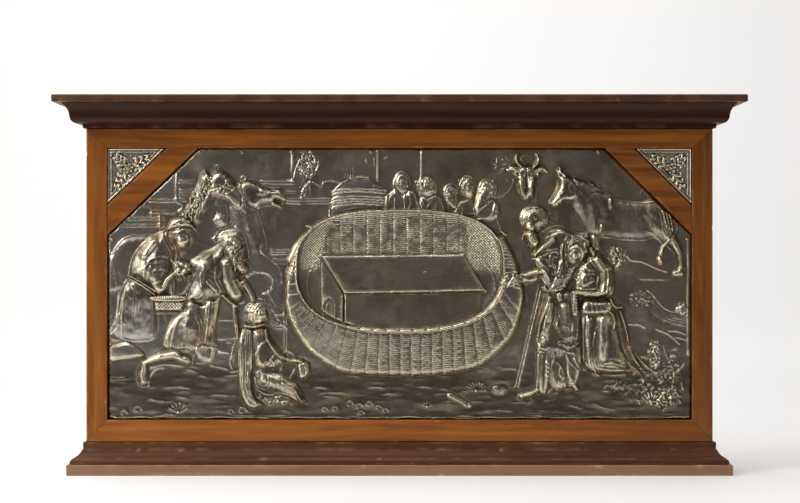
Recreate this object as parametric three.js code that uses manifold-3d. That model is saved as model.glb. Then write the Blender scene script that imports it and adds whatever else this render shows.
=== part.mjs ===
// A framed relief plaque: an embossed metal sheet with a round woven ark, the people and the
// animals around it, nailed to a wooden core board. A mitred mahogany frame with two corner
// braces surrounds the sheet, with a cornice above it and a moulded base below.
//
// Millimetres. +Z is up, the front faces -Y, and the origin is under the middle of the base.
// "Out" is a distance in front of, or beside, the faces of the frame.

import * as THREE from "three";
import { ConvexGeometry } from "three/addons/geometries/ConvexGeometry.js";
import { mergeVertices } from "three/addons/utils/BufferGeometryUtils.js";
import Module from "manifold-3d";

const wasm = await Module();
wasm.setup();

// Driving dimensions
const GAP = 0.3;
const BODY_WIDTH = 548;
const BODY_DEPTH = 44;
const TOTAL_HEIGHT = 330.6;
const TOP_BOARD_OUT = 26.8;
const TOP_BOARD_THICK = 6.4;
const BASE_BOARD_OUT = 15.6;
const BASE_BOARD_THICK = 9.4;
const BOARD_EDGE_RADIUS = 1.2;
const FRAME_TOP = 302.4;
const FRAME_BOTTOM = 28.4;
const FRAME_THICK = 8;
const STILE_WIDTH = 18;
const TOP_RAIL_WIDTH = 17;
const BOTTOM_RAIL_WIDTH = 19;
const LEFT_BRACE = { alongRail: 79.6, downStile: 76.1, width: 19 };
const RIGHT_BRACE = { alongRail: 76.2, downStile: 75.3, width: 17.8 };
const BRACE_SETBACK = 0.4;
const SHEET_SETBACK = 2.6;
const SHEET_THICK = 5;
const SHEET_CLEARANCE = 1;
const PIN_RADIUS = 1.9;
const PIN_HEIGHT = 1.3;

// Heights of the relief above the sheet
const HIGH = 9;
const TALL = 7.5;
const MID = 6;
const HALF = 4.5;
const LOW = 3;
const FAINT = 1.8;

// Places worked out from the dimensions above
const HALF_WIDTH = BODY_WIDTH / 2;
const FRONT = (TOP_BOARD_OUT - BODY_DEPTH) / 2;
const BACK = FRONT + BODY_DEPTH;
const CORE_FRONT = FRONT + FRAME_THICK + GAP;
const CORNICE_TOP = TOTAL_HEIGHT - TOP_BOARD_THICK - GAP;
const BASE_MOULDING_BOTTOM = BASE_BOARD_THICK + GAP;
const SHEET_FRONT = FRONT + SHEET_SETBACK;
const SHEET_BACK = SHEET_FRONT + SHEET_THICK;
const OPENING = {
  left: -HALF_WIDTH + STILE_WIDTH,
  right: HALF_WIDTH - STILE_WIDTH,
  top: FRAME_TOP - TOP_RAIL_WIDTH,
  bottom: FRAME_BOTTOM + BOTTOM_RAIL_WIDTH,
};

// ---------------------------------------------------------------- geometry helpers

// Merges shared corners, and turns the faces out where a mapping has turned them in.
function closed(geometry) {
  geometry.deleteAttribute("normal");
  geometry.deleteAttribute("uv");
  const merged = mergeVertices(geometry, 1e-4);
  const p = merged.attributes.position;
  const index = merged.index.array;
  const [a, b, c] = [new THREE.Vector3(), new THREE.Vector3(), new THREE.Vector3()];
  let volume = 0;
  for (let i = 0; i < index.length; i += 3) {
    a.fromBufferAttribute(p, index[i]);
    b.fromBufferAttribute(p, index[i + 1]);
    c.fromBufferAttribute(p, index[i + 2]);
    volume += a.dot(b.cross(c));
  }
  if (volume < 0) {
    for (let i = 0; i < index.length; i += 3) {
      [index[i + 1], index[i + 2]] = [index[i + 2], index[i + 1]];
    }
  }
  return merged;
}

function solid(geometry) {
  const merged = closed(geometry);
  return new wasm.Manifold(new wasm.Mesh({
    numProp: 3,
    vertProperties: new Float32Array(merged.attributes.position.array),
    triVerts: new Uint32Array(merged.index.array),
  }));
}

function fromSolid(body) {
  const mesh = body.getMesh();
  const geometry = new THREE.BufferGeometry();
  geometry.setAttribute("position", new THREE.BufferAttribute(new Float32Array(mesh.vertProperties), 3));
  geometry.setIndex(new THREE.BufferAttribute(new Uint32Array(mesh.triVerts), 1));
  return geometry;
}

const join = (bodies) => bodies.reduce((whole, body) => whole.add(body));

// An outline's points, put in clockwise or anticlockwise order.
function ordered(outline, clockwise) {
  const points = outline.map(([x, z]) => new THREE.Vector2(x, z));
  return THREE.ShapeUtils.isClockWise(points) === clockwise ? points : points.reverse();
}

// A flat piece with its outline in X and Z, from one Y to another.
function slab(outline, back, front, holes = []) {
  const shape = new THREE.Shape(ordered(outline, false));
  for (const hole of holes) {
    shape.holes.push(new THREE.Path(ordered(hole, true)));
  }
  const geometry = new THREE.ExtrudeGeometry(shape, { depth: back - front, bevelEnabled: false });
  return closed(geometry.rotateX(Math.PI / 2).translate(0, back, 0));
}

// A board lying flat under or over the body, with softened edges.
function flatBoard(out, bottom, thick) {
  const half = HALF_WIDTH + out;
  const outline = [[-half, FRONT - out], [half, FRONT - out], [half, BACK], [-half, BACK]];
  const shape = new THREE.Shape(outline.map(([x, y]) => new THREE.Vector2(x, y)));
  const geometry = new THREE.ExtrudeGeometry(shape, {
    depth: thick - 2 * BOARD_EDGE_RADIUS,
    bevelSize: BOARD_EDGE_RADIUS,
    bevelThickness: BOARD_EDGE_RADIUS,
    bevelOffset: -BOARD_EDGE_RADIUS,
    bevelSegments: 2,
  });
  return closed(geometry.translate(0, 0, bottom + BOARD_EDGE_RADIUS));
}

// A moulding's profile is a list of [out, height]; place(out, t) gives X and Y at its two ends.
function moulding(profile, place) {
  const shape = new THREE.Shape(profile.map(([out, z]) => new THREE.Vector2(out, z)));
  const geometry = new THREE.ExtrudeGeometry(shape, { depth: 1, bevelEnabled: false });
  const p = geometry.attributes.position;
  for (let i = 0; i < p.count; i++) {
    const height = p.getY(i);
    const [x, y] = place(p.getX(i), p.getZ(i));
    p.setXYZ(i, x, y, height);
  }
  return closed(geometry);
}

const curve = (from, control, to, steps) => {
  const bezier = new THREE.QuadraticBezierCurve(...[from, control, to].map(([x, y]) => new THREE.Vector2(x, y)));
  return bezier.getPoints(steps).map((point) => [point.x, point.y]);
};

// ---------------------------------------------------------------- wooden pieces

// A cove under the top board turns into an ovolo, with a small fillet at the foot.
function corniceProfile(back) {
  const hollowEnd = [13.2, 313.4];
  const roundEnd = [6.6, 306.4];
  return [
    [back, FRAME_TOP + GAP],
    [2.8, FRAME_TOP + GAP],
    [2.8, 306.2],
    ...curve(roundEnd, [12.8, 306.8], hollowEnd, 5),
    ...curve(hollowEnd, [13.6, 319.2], [19.4, CORNICE_TOP], 5).slice(1),
    [back, CORNICE_TOP],
  ];
}

// A cove spreads from a fillet to a narrow ovolo that stands on the base board.
function baseProfile(back) {
  return [
    [back, BASE_MOULDING_BOTTOM],
    [12.8, BASE_MOULDING_BOTTOM],
    ...curve([12.8, 11.2], [12.6, 13.4], [10.6, 14.2], 3),
    ...curve([10.4, 14.6], [5.4, 16.8], [3.4, 21.6], 5),
    [2.6, 21.8],
    [2.6, FRAME_BOTTOM - GAP],
    [back, FRAME_BOTTOM - GAP],
  ];
}

function wrapAround(profileOf, name) {
  const frontPiece = moulding(profileOf(FRONT - CORE_FRONT + GAP), (out, t) => {
    const end = HALF_WIDTH + out - GAP;
    return [(2 * t - 1) * end, FRONT - out];
  });
  const sidePiece = (side) => moulding(profileOf(GAP), (out, t) => {
    const corner = FRONT - out + GAP;
    return [side * (HALF_WIDTH + out), corner + t * (BACK - corner)];
  });
  wood(`${name}_front`, frontPiece);
  wood(`${name}_left`, sidePiece(-1));
  wood(`${name}_right`, sidePiece(1));
}

function frameBars() {
  const { left, right, top, bottom } = OPENING;
  const bar = (outline) => slab(outline, FRONT + FRAME_THICK, FRONT);
  for (const side of [-1, 1]) {
    const inner = side < 0 ? left : right;
    const outer = side * HALF_WIDTH;
    wood(side < 0 ? "stile_left" : "stile_right", bar([
      [outer, FRAME_BOTTOM + GAP], [inner, bottom + GAP], [inner, top - GAP], [outer, FRAME_TOP - GAP],
    ]));
  }
  wood("rail_top", bar([[-HALF_WIDTH, FRAME_TOP], [left, top], [right, top], [HALF_WIDTH, FRAME_TOP]]));
  wood("rail_bottom", bar([
    [-HALF_WIDTH, FRAME_BOTTOM], [left, bottom], [right, bottom], [HALF_WIDTH, FRAME_BOTTOM],
  ]));
}

// Places in an upper corner of the opening, told by how far along the rail and down the stile
// they lie. The brace cuts a triangle off there; what its width leaves is shrink times as large.
function upperCorner(side, brace, clearance) {
  const slant = Math.hypot(brace.alongRail, brace.downStile);
  const shrink = 1 - ((brace.width + clearance) * slant) / (brace.alongRail * brace.downStile);
  const x = side < 0 ? OPENING.left : OPENING.right;
  const at = (rail, stile) => [x - side * rail, OPENING.top - stile];
  return { at, shrink };
}

function cornerBrace(name, side, brace) {
  const { at, shrink } = upperCorner(side, brace, 0);
  wood(name, slab([
    at(brace.alongRail - GAP, GAP), at(GAP, brace.downStile - GAP),
    at(GAP, brace.downStile * shrink), at(brace.alongRail * shrink, GAP),
  ], FRONT + FRAME_THICK, FRONT + BRACE_SETBACK));
}

// ---------------------------------------------------------------- metal pieces

// A leafy corner plate: a raised flat border, a round boss and leaves that reach the corners.
function spandrelPlate(name, side, brace) {
  const { at, shrink } = upperCorner(side, brace, GAP);
  const rail = brace.alongRail * shrink;
  const stile = brace.downStile * shrink;
  const inset = (distance) => {
    const slope = Math.hypot(rail, stile);
    const reach = 1 - (distance * (rail + stile + slope)) / (rail * stile);
    return [
      at(distance, distance), at(distance + reach * rail, distance), at(distance, distance + reach * stile),
    ];
  };
  const face = SHEET_FRONT;
  const boss = at(rail * 0.36, stile * 0.36);
  const plate = solid(slab(inset(GAP), SHEET_BACK, face));
  const border = solid(slab(inset(GAP + 0.2), face + 1, face - 1.2, [inset(4.2)]));
  const leaves = inset(8).map(([x, z]) => limb([...boss, 4, 1.6], [x, z, 2, 1]));
  const eye = limb([...boss, 3.4, 2.2], [...boss, 3.4, 2.2]);
  metal(name, fromSolid(join([plate, border, ...leaves.flat(), ...eye])));
}

// Rings of a raised form: how far each spreads, and how high it stands, as parts of the whole.
const MOUND_RINGS = [[1, 0], [0.8, 0.6], [0.36, 1]];
const MOUND_SIDES = 6;
const ROOT = 1;

function mound([x, z, radius, height], wide = 1, tilt = 0) {
  const points = [];
  for (const [spread, rise] of MOUND_RINGS) {
    for (let i = 0; i < MOUND_SIDES; i++) {
      const turn = (2 * Math.PI * (i + 0.5 * rise)) / MOUND_SIDES;
      const u = radius * spread * wide * Math.cos(turn);
      const v = radius * spread * Math.sin(turn);
      points.push(new THREE.Vector3(
        x + u * Math.cos(tilt) - v * Math.sin(tilt),
        SHEET_FRONT + (rise > 0 ? -rise * height : ROOT),
        z + u * Math.sin(tilt) + v * Math.cos(tilt),
      ));
    }
  }
  return points;
}

// A limb runs through its joints, each [x, z, radius, height].
function limb(...joints) {
  const parts = [];
  for (let i = 1; i < joints.length; i++) {
    parts.push(solid(new ConvexGeometry([...mound(joints[i - 1]), ...mound(joints[i])])));
  }
  return parts;
}

// An oval form, as high as it is told, with its width a multiple of its length.
const oval = (joint, wide, tilt = 0) => [solid(new ConvexGeometry(mound(joint, wide, tilt)))];

// A round-cornered oval; the upper and the lower half have their own squareness.
function superOval({ x, z, rx, rz, upper, lower }, steps, grow = 0) {
  const outline = [];
  for (let i = 0; i < steps; i++) {
    const turn = (2 * Math.PI * i) / steps;
    const power = 2 / (Math.sin(turn) > 0 ? upper : lower);
    const c = Math.cos(turn);
    const s = Math.sin(turn);
    outline.push([
      x + (rx + grow) * Math.sign(c) * Math.abs(c) ** power,
      z + (rz + grow) * Math.sign(s) * Math.abs(s) ** power,
    ]);
  }
  return outline;
}

const MOUTH = { x: 0.6, z: 178, rx: 89, rz: 52, upper: 2.9, lower: 2.55 };
const HULL = { x: 4, z: 155, rx: 105.7, rz: 69.7, upper: 2.2, lower: 2.4 };
const RIM_WIDTH = 3.6;

function arkHull() {
  const foot = [[-88, 211], [89, 212], ...superOval(HULL, 28).filter(([, z]) => z < 200)];
  const swell = [[1, -ROOT / HALF], [0.965, 0.55], [0.9, 0.85], [0.78, 1]];
  const points = [];
  for (const [spread, rise] of swell) {
    for (const [x, z] of foot) {
      points.push(new THREE.Vector3(
        HULL.x + (x - HULL.x) * spread,
        SHEET_FRONT - rise * MID,
        HULL.z + (z - HULL.z) * spread,
      ));
    }
  }
  const floor = SHEET_FRONT - 1;
  const wall = solid(new ConvexGeometry(points));
  const mouth = solid(slab(superOval(MOUTH, 28), floor, SHEET_FRONT - 2 * MID));
  const rim = solid(slab(superOval(MOUTH, 28, RIM_WIDTH), SHEET_FRONT + ROOT, SHEET_FRONT - TALL,
    [superOval(MOUTH, 28)]));
  const fore = solid(slab([[-120, 100], [120, 100], [120, 196], [-120, 196]], SHEET_FRONT + ROOT,
    SHEET_FRONT - 2 * MID));
  const rear = solid(slab(superOval(MOUTH, 28, RIM_WIDTH * 0.6), SHEET_FRONT + ROOT, SHEET_FRONT - LOW,
    [superOval(MOUTH, 28)]));
  return wall.subtract(mouth).add(rim.intersect(fore)).add(rear);
}

// A stave is a narrow bar that thins towards its crown.
const STAVE_FOOT = 2;
const STAVE_CROWN = 1.1;

function stave([x0, z0], [x1, z1]) {
  const length = Math.hypot(x1 - x0, z1 - z0);
  const across = [(z1 - z0) / length, (x0 - x1) / length];
  const points = [];
  for (const [x, z, height] of [[x0, z0, MID + 1], [x1, z1, MID - 0.2]]) {
    for (const [half, y] of [[STAVE_FOOT, ROOT], [STAVE_CROWN, -height]]) {
      for (const side of [-half, half]) {
        points.push(new THREE.Vector3(x + side * across[0], SHEET_FRONT + y, z + side * across[1]));
      }
    }
  }
  return solid(new ConvexGeometry(points));
}

// Upright staves divide the near wall; each runs from the rim down to the foot.
function hullStaves() {
  const count = 17;
  const staves = [];
  for (let i = 0; i < count; i++) {
    const turn = Math.PI * (1.06 + (0.88 * i) / (count - 1));
    const from = [MOUTH.x + (MOUTH.rx + 5) * Math.cos(turn), MOUTH.z + (MOUTH.rz + 6) * Math.sin(turn)];
    const to = [HULL.x + (HULL.rx - 12) * Math.cos(turn), HULL.z + (HULL.rz - 7) * Math.sin(turn)];
    staves.push(stave(from, to));
  }
  return staves;
}

// The house in the ark: a steep roof, a long wall and a gable with a pointed door.
function arkHouse() {
  const ridge = [[-68, 191, 2.4], [56, 192, 2.4]];
  const eaves = [[-49, 158, 5], [75, 160, 5]];
  const apex = (points) => solid(new ConvexGeometry(points.flatMap(([x, z, height]) => [
    new THREE.Vector3(x, SHEET_FRONT - height, z),
    new THREE.Vector3(x, SHEET_FRONT + ROOT, z),
  ])));
  const inside = solid(slab(superOval(MOUTH, 28), SHEET_FRONT + ROOT, SHEET_FRONT - MID));
  const wall = solid(slab([[-49, 158], [-49, 122], [71, 122], [71, 160]], SHEET_FRONT + ROOT,
    SHEET_FRONT - 4));
  const gable = apex([[-68.5, 191, 2.6], [-69, 140, 2.8], [-50, 130, 4], [-50, 157, 4]]);
  const door = slab([[-66, 139], [-57.5, 136], [-57.5, 149], [-61, 155], [-66, 149]], SHEET_FRONT + ROOT,
    SHEET_FRONT - 4.6);
  return [apex([...ridge, ...eaves]), join([wall, gable, solid(door)]).intersect(inside)];
}

// People look out over the far rim; each is a head, a hood or a beard, and its shoulders.
function peopleInArk() {
  const heads = [[2.5, 255, 8.6], [24, 251, 9], [45, 244, 9], [60.5, 253, 7.8], [76, 250, 9]];
  const shoulders = [[2, 235, 14], [28, 233, 10], [50, 233, 6], [59, 234, 6], [78, 231, 9]];
  const parts = [];
  heads.forEach(([x, z, radius], i) => {
    const [sx, sz, width] = shoulders[i];
    parts.push(...oval([x, z, radius, HALF], 0.8));
    parts.push(...limb([x, z - 6, 5, LOW], [sx, sz, width, LOW]));
  });
  return parts;
}

function horse() {
  return [
    ...limb([-162, 258, 8, HALF], [-152, 247, 8, HALF], [-141, 236, 4.5, HALF]),
    ...limb([-171, 264, 1.6, LOW], [-166, 256, 3, HALF]),
    ...limb([-166, 254, 9, HALF], [-176, 238, 8, LOW], [-184, 224, 7, LOW]),
    ...limb([-162, 240, 11, LOW], [-166, 212, 16, LOW]),
    ...limb([-212, 196, 13, LOW], [-240, 192, 14, LOW]),
    ...limb([-250, 190, 4, LOW], [-248, 166, 3, FAINT]),
  ];
}

function camel() {
  return [
    ...limb([-134, 250, 7.5, HALF], [-118, 243, 8, HALF], [-106, 243, 6.4, HALF]),
    ...limb([-118, 238, 4, HALF], [-104, 235.5, 2.4, LOW]),
    ...limb([-133, 244, 9, LOW], [-130, 226, 10, LOW], [-126, 200, 10, LOW]),
  ];
}

function cow() {
  return [
    ...limb([111, 263, 9, MID], [111, 250, 7.6, MID], [111, 244, 6.2, HALF]),
    ...limb([105, 268, 1.8, LOW], [102, 273, 1.6, LOW], [103, 279, 1, FAINT]),
    ...limb([118, 268, 1.8, LOW], [121.6, 273, 1.6, LOW], [120, 279, 1, FAINT]),
    ...limb([104, 265, 3, LOW], [94, 268, 2, FAINT]),
    ...limb([119, 265, 3, LOW], [129, 266, 2, FAINT]),
    ...limb([98, 250, 5, FAINT], [88, 230, 6, FAINT]),
  ];
}

function ox() {
  return [
    ...limb([149, 255, 8, HALF], [142, 246, 6.6, HALF], [134.5, 239.5, 4.4, LOW]),
    ...limb([140, 267, 1.4, LOW], [145, 260, 3, LOW]),
    ...limb([162, 243, 15, HALF], [176, 226, 18, MID], [202, 222, 16, HALF], [228, 224, 14, MID]),
    ...limb([172, 214, 7, MID], [172, 200, 4, LOW]),
    ...limb([230, 214, 9, MID], [243, 199, 4, LOW], [246, 178, 3.4, LOW]),
    ...limb([242, 218, 1.4, LOW], [233, 202, 1.4, LOW], [227, 185, 2.4, LOW]),
  ];
}

function stoopingWoman() {
  return [
    ...oval([-192, 207, 11, TALL], 0.9),
    ...limb([-198, 217, 6, HALF], [-188, 217, 6, HALF]),
    ...limb([-218, 195, 13.5, HIGH], [-223, 181, 13, TALL]),
    ...limb([-211, 185, 8.5, HIGH], [-211, 165, 7.5, TALL]),
    ...limb([-208, 163, 5, TALL], [-197, 177, 4.4, TALL], [-187, 181, 4, MID]),
    ...limb([-227, 164, 11, TALL], [-231, 144, 15, MID], [-231, 124, 15, HALF]),
    ...limb([-247, 152, 3, LOW], [-250, 128, 3, LOW]),
    ...limb([-214, 155, 2.6, MID], [-189, 155, 2.6, MID]),
    ...limb([-212, 149, 4, HALF], [-191, 149, 4, HALF]),
    ...oval([-239, 107, 8, HALF], 1.8),
  ];
}

function kneelingMan() {
  return [
    ...oval([-147, 203, 12, TALL], 1.02),
    ...limb([-144, 195, 12, TALL], [-142, 182, 9, MID]),
    ...limb([-160, 192, 7, TALL], [-173, 184, 9.5, HIGH], [-174, 160, 13, MID]),
    ...limb([-154, 186, 7, HIGH], [-149, 167, 8, TALL], [-143, 152, 5.5, MID]),
    ...limb([-138, 170, 3, MID], [-128, 154, 3, HALF]),
    ...limb([-183, 148, 9, TALL], [-187, 128, 13, MID], [-190, 114, 15, HALF]),
    ...limb([-167, 150, 8, HALF], [-171, 110, 9, HALF]),
    ...limb([-218, 101, 4.4, HALF], [-201, 104, 6.4, MID], [-184, 99, 6, HALF]),
    ...limb([-224.5, 98, 4.4, HALF], [-224, 80, 4.2, LOW]),
  ];
}

// The tools and the stand that the man works with.
function trestle() {
  return [
    ...limb([-155, 157, 1.6, LOW], [-143, 148, 2, HALF]),
    ...limb([-144, 147, 2.2, LOW], [-142, 119, 2.2, LOW], [-147, 97, 2.4, LOW], [-143, 90, 2, FAINT]),
    ...limb([-100, 152, 1.8, LOW], [-100, 108, 1.8, LOW]),
  ];
}

function cloakedChild() {
  return [
    ...oval([-125.5, 140.5, 9.6, TALL], 1),
    ...limb([-134, 124, 5, MID], [-134.5, 94, 6, MID], [-134, 72, 6, HALF], [-128, 62, 6, LOW]),
    ...limb([-124, 124, 7, MID], [-118, 104, 8, MID]),
    ...limb([-115, 122, 3, MID], [-110, 107, 3.4, MID], [-94, 99, 3.4, HALF], [-84, 96, 4, HALF]),
    ...limb([-85, 94, 3, HALF], [-85, 86, 2.4, LOW]),
    ...limb([-119, 86, 8.6, TALL], [-103, 80, 9, MID], [-88, 68, 7, HALF]),
    ...limb([-118, 66, 5, LOW], [-96, 63, 5, LOW]),
  ];
}

function oldMan() {
  return [
    ...oval([118, 225, 12.4, TALL], 1),
    ...limb([117, 214, 6.5, MID], [117, 204, 5.6, HALF]),
    ...limb([134, 211, 7, MID], [152, 205, 8, TALL]),
    ...limb([132, 206, 6, TALL], [119.5, 191, 3.4, TALL], [129, 182, 6, MID]),
    ...limb([145, 198, 11, TALL], [142, 178, 12, MID]),
    ...limb([127, 178, 4.4, MID], [112, 173, 4, MID], [97, 169, 5, HALF]),
    ...limb([125, 166, 2, LOW], [112, 122, 2, LOW], [103, 76, 2, LOW]),
    ...limb([131, 164, 3, HALF], [146, 161, 4, MID]),
  ];
}

function childInTunic() {
  return [
    ...limb([135, 151, 9, TALL], [138, 134, 15, MID], [139, 116, 15, HALF]),
    ...limb([125, 116, 6, MID], [126, 74, 5, HALF]),
    ...limb([125, 70, 4, HALF], [110, 67, 4, LOW]),
    ...limb([150, 112, 6.6, HALF], [151, 84, 5.4, HALF], [152, 75, 5, LOW]),
  ];
}

function kneelingGirl() {
  return [
    ...oval([155, 193, 11, HIGH], 0.94),
    ...limb([168, 190, 6, MID], [177, 182, 8.6, HIGH], [179, 163, 7, TALL]),
    ...limb([177, 157, 4.6, TALL], [160, 158, 4.4, MID]),
    ...limb([165, 178, 10, MID], [166, 163, 8, MID]),
    ...limb([153, 155, 3.4, MID], [153, 141, 3.4, HALF]),
    ...limb([164, 146, 5, MID], [181, 146, 5, MID]),
    ...limb([177, 134, 10.4, TALL], [178, 116, 11.4, HIGH], [177, 102, 9.6, TALL]),
    ...limb([165, 134, 6, MID], [164, 98, 6, HALF]),
    ...limb([180, 95, 4.6, HALF], [198, 94, 4.2, HALF]),
    ...limb([187, 149, 2.6, HALF], [187.5, 128, 2.6, HALF]),
    ...limb([195, 142, 2.6, HALF], [199, 121, 2, HALF], [209, 97, 2.4, LOW]),
    ...limb([203, 96, 2.6, HALF], [211, 89, 3, HALF]),
  ];
}

// Background buildings, the tree, the mound behind the ark, and the bushes at the right.
function landscape() {
  return [
    ...limb([-90, 272, 2, FAINT], [-94, 254, 1.6, FAINT]),
    ...oval([-80, 272, 13, FAINT], 1),
    ...limb([-49, 240, 10, FAINT], [-28, 243, 16, FAINT]),
    ...limb([218, 160, 2.4, FAINT], [229, 147, 2.4, FAINT], [244, 141, 2.4, FAINT]),
    ...oval([247, 144, 6.5, LOW], 1),
    ...limb([223, 116, 7, LOW], [224, 98, 7, LOW]),
    ...limb([216, 66, 8, LOW], [230, 64, 7, LOW]),
    ...oval([89, 73, 7, LOW], 1.2),
    ...oval([66, 74, 6, FAINT], 1),
    ...limb([44, 69, 3, LOW], [60, 60, 3, LOW]),
    ...limb([-205, 58, 6, FAINT], [-196, 55, 6, FAINT]),
  ];
}

function sheetOutline() {
  const bottomCorners = [
    [OPENING.left + SHEET_CLEARANCE, OPENING.bottom + GAP],
    [OPENING.right - SHEET_CLEARANCE, OPENING.bottom + GAP],
  ];
  const top = OPENING.top - SHEET_CLEARANCE;
  return [
    ...bottomCorners,
    [OPENING.right - SHEET_CLEARANCE, top - RIGHT_BRACE.downStile],
    [OPENING.right - RIGHT_BRACE.alongRail - SHEET_CLEARANCE, top],
    [OPENING.left + LEFT_BRACE.alongRail + SHEET_CLEARANCE, top],
    [OPENING.left + SHEET_CLEARANCE, top - LEFT_BRACE.downStile],
  ];
}

function reliefSheet() {
  const outline = sheetOutline();
  const background = [
    ...landscape(), ...horse(), ...camel(), ...cow(), ...ox(), ...peopleInArk(), ...trestle(),
  ];
  const people = [
    ...stoopingWoman(), ...kneelingMan(), ...cloakedChild(), ...oldMan(), ...childInTunic(),
    ...kneelingGirl(),
  ];
  const plate = solid(slab(outline, SHEET_BACK, SHEET_FRONT));
  const space = solid(slab(outline, SHEET_BACK, SHEET_FRONT - 2 * HIGH));
  const raised = join([...background, arkHull(), ...hullStaves(), ...arkHouse(), ...people]);
  metal("relief_sheet", fromSolid(plate.add(raised.intersect(space))));
}

// Domed nails hold the sheet along its top and upper sides.
function nails() {
  const places = [[-175, 281.8], [-138, 281.8], [-94.4, 281.8], [-24.8, 281.8], [174, 281.8],
    [-252, 205], [252, 205]];
  const profile = [
    [0, 0], [PIN_RADIUS, 0], [PIN_RADIUS * 0.8, PIN_HEIGHT * 0.6], [PIN_RADIUS * 0.4, PIN_HEIGHT * 0.92],
    [0, PIN_HEIGHT],
  ];
  places.forEach(([x, z], i) => {
    const head = new THREE.LatheGeometry(profile.map(([r, h]) => new THREE.Vector2(r, h)), 7);
    head.rotateX(Math.PI).translate(x, SHEET_FRONT - GAP, z);
    add(`nail_${i + 1}`, closed(head), nailMetal());
  });
}

// ---------------------------------------------------------------- the object

const group = new THREE.Group();
const mahogany = () => new THREE.MeshStandardMaterial({ color: 0x7a4426, roughness: 0.42, metalness: 0 });
const silver = () => new THREE.MeshStandardMaterial({ color: 0x77736b, roughness: 0.36, metalness: 1 });
const nailMetal = () => new THREE.MeshStandardMaterial({ color: 0x8c7a4c, roughness: 0.4, metalness: 1 });

function add(name, geometry, material) {
  const mesh = new THREE.Mesh(geometry, material);
  mesh.name = name;
  group.add(mesh);
  return mesh;
}

function wood(name, geometry) {
  return add(name, geometry, mahogany());
}

function metal(name, geometry) {
  return add(name, geometry, silver());
}

wood("core_board", slab([
  [-HALF_WIDTH, BASE_MOULDING_BOTTOM], [HALF_WIDTH, BASE_MOULDING_BOTTOM],
  [HALF_WIDTH, CORNICE_TOP], [-HALF_WIDTH, CORNICE_TOP],
], BACK, CORE_FRONT));
wood("base_board", flatBoard(BASE_BOARD_OUT, 0, BASE_BOARD_THICK));
wood("top_board", flatBoard(TOP_BOARD_OUT, TOTAL_HEIGHT - TOP_BOARD_THICK, TOP_BOARD_THICK));
wrapAround(baseProfile, "base_moulding");
wrapAround(corniceProfile, "cornice");
frameBars();
cornerBrace("brace_left", -1, LEFT_BRACE);
cornerBrace("brace_right", 1, RIGHT_BRACE);
spandrelPlate("spandrel_plate_left", -1, LEFT_BRACE);
spandrelPlate("spandrel_plate_right", 1, RIGHT_BRACE);
reliefSheet();
nails();

export default group;
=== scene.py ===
"""The looks of a framed relief plaque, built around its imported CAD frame.

Sizes here are millimetres, turned into metres when a mesh is made. X runs to the right, Z up,
and "out" is a distance in front of the frame's face, towards the viewer.
"""
import math

import bmesh
import bpy
import numpy as np
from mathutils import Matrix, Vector


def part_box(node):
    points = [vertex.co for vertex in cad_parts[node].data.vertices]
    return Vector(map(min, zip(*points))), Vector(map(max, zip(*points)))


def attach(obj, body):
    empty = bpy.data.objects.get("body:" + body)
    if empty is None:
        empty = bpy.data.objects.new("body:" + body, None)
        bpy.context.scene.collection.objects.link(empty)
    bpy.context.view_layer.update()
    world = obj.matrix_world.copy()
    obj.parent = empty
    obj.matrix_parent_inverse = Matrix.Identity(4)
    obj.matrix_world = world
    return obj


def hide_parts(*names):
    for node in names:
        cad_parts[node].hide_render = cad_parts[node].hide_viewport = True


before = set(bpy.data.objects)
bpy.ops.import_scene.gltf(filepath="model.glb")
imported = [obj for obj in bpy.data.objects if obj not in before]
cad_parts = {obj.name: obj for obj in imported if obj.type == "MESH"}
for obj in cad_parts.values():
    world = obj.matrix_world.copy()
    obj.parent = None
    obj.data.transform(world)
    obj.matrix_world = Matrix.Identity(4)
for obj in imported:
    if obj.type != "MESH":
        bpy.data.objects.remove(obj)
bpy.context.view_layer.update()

MM = 0.001
BODY = "root"


def node_box(name):
    """Lowest and highest corner of a CAD node, in millimetres."""
    low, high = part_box(name)
    return np.array(low) / MM, np.array(high) / MM


CORE_LOW, CORE_HIGH = node_box("core_board")
STILE_LOW, STILE_HIGH = node_box("stile_left")
RAIL_LOW, RAIL_HIGH = node_box("rail_top")
SILL_LOW, SILL_HIGH = node_box("rail_bottom")
TOP_LOW, TOP_HIGH = node_box("top_board")
BASE_LOW, BASE_HIGH = node_box("base_board")
CORNICE_LOW, CORNICE_HIGH = node_box("cornice_front")
FOOT_LOW, FOOT_HIGH = node_box("base_moulding_front")

HALF_WIDTH = CORE_HIGH[0]
FRONT = STILE_LOW[1]
BACK = CORE_HIGH[1]
FRAME_TOP = RAIL_HIGH[2]
FRAME_BOTTOM = SILL_LOW[2]
OPEN_LEFT = STILE_HIGH[0]
OPEN_RIGHT = -STILE_HIGH[0]
OPEN_TOP = RAIL_LOW[2]
OPEN_BOTTOM = SILL_HIGH[2]
GAP = 0.3
FRAME_THICK = STILE_HIGH[1] - FRONT
SHEET_THICK = 5.0
SHEET_BACK = node_box("relief_sheet")[1][1]
SHEET_FRONT = SHEET_BACK - SHEET_THICK


# ---------------------------------------------------------------- small numeric helpers

def value_noise(x, z, scale, seed, stretch=1.0):
    """Smooth noise in -1..1 with bumps about `scale` long, drawn out along x by `stretch`."""
    rng = np.random.default_rng(seed)
    table = rng.uniform(-1, 1, (256, 256))
    u, v = x / (scale * stretch) + 117.3, z / scale + 91.7
    iu, iv = np.floor(u).astype(int), np.floor(v).astype(int)
    fu, fv = u - iu, v - iv
    fu, fv = fu * fu * (3 - 2 * fu), fv * fv * (3 - 2 * fv)
    a, b = table[iv % 256, iu % 256], table[iv % 256, (iu + 1) % 256]
    c, d = table[(iv + 1) % 256, iu % 256], table[(iv + 1) % 256, (iu + 1) % 256]
    return (a * (1 - fu) + b * fu) * (1 - fv) + (c * (1 - fu) + d * fu) * fv


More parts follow.
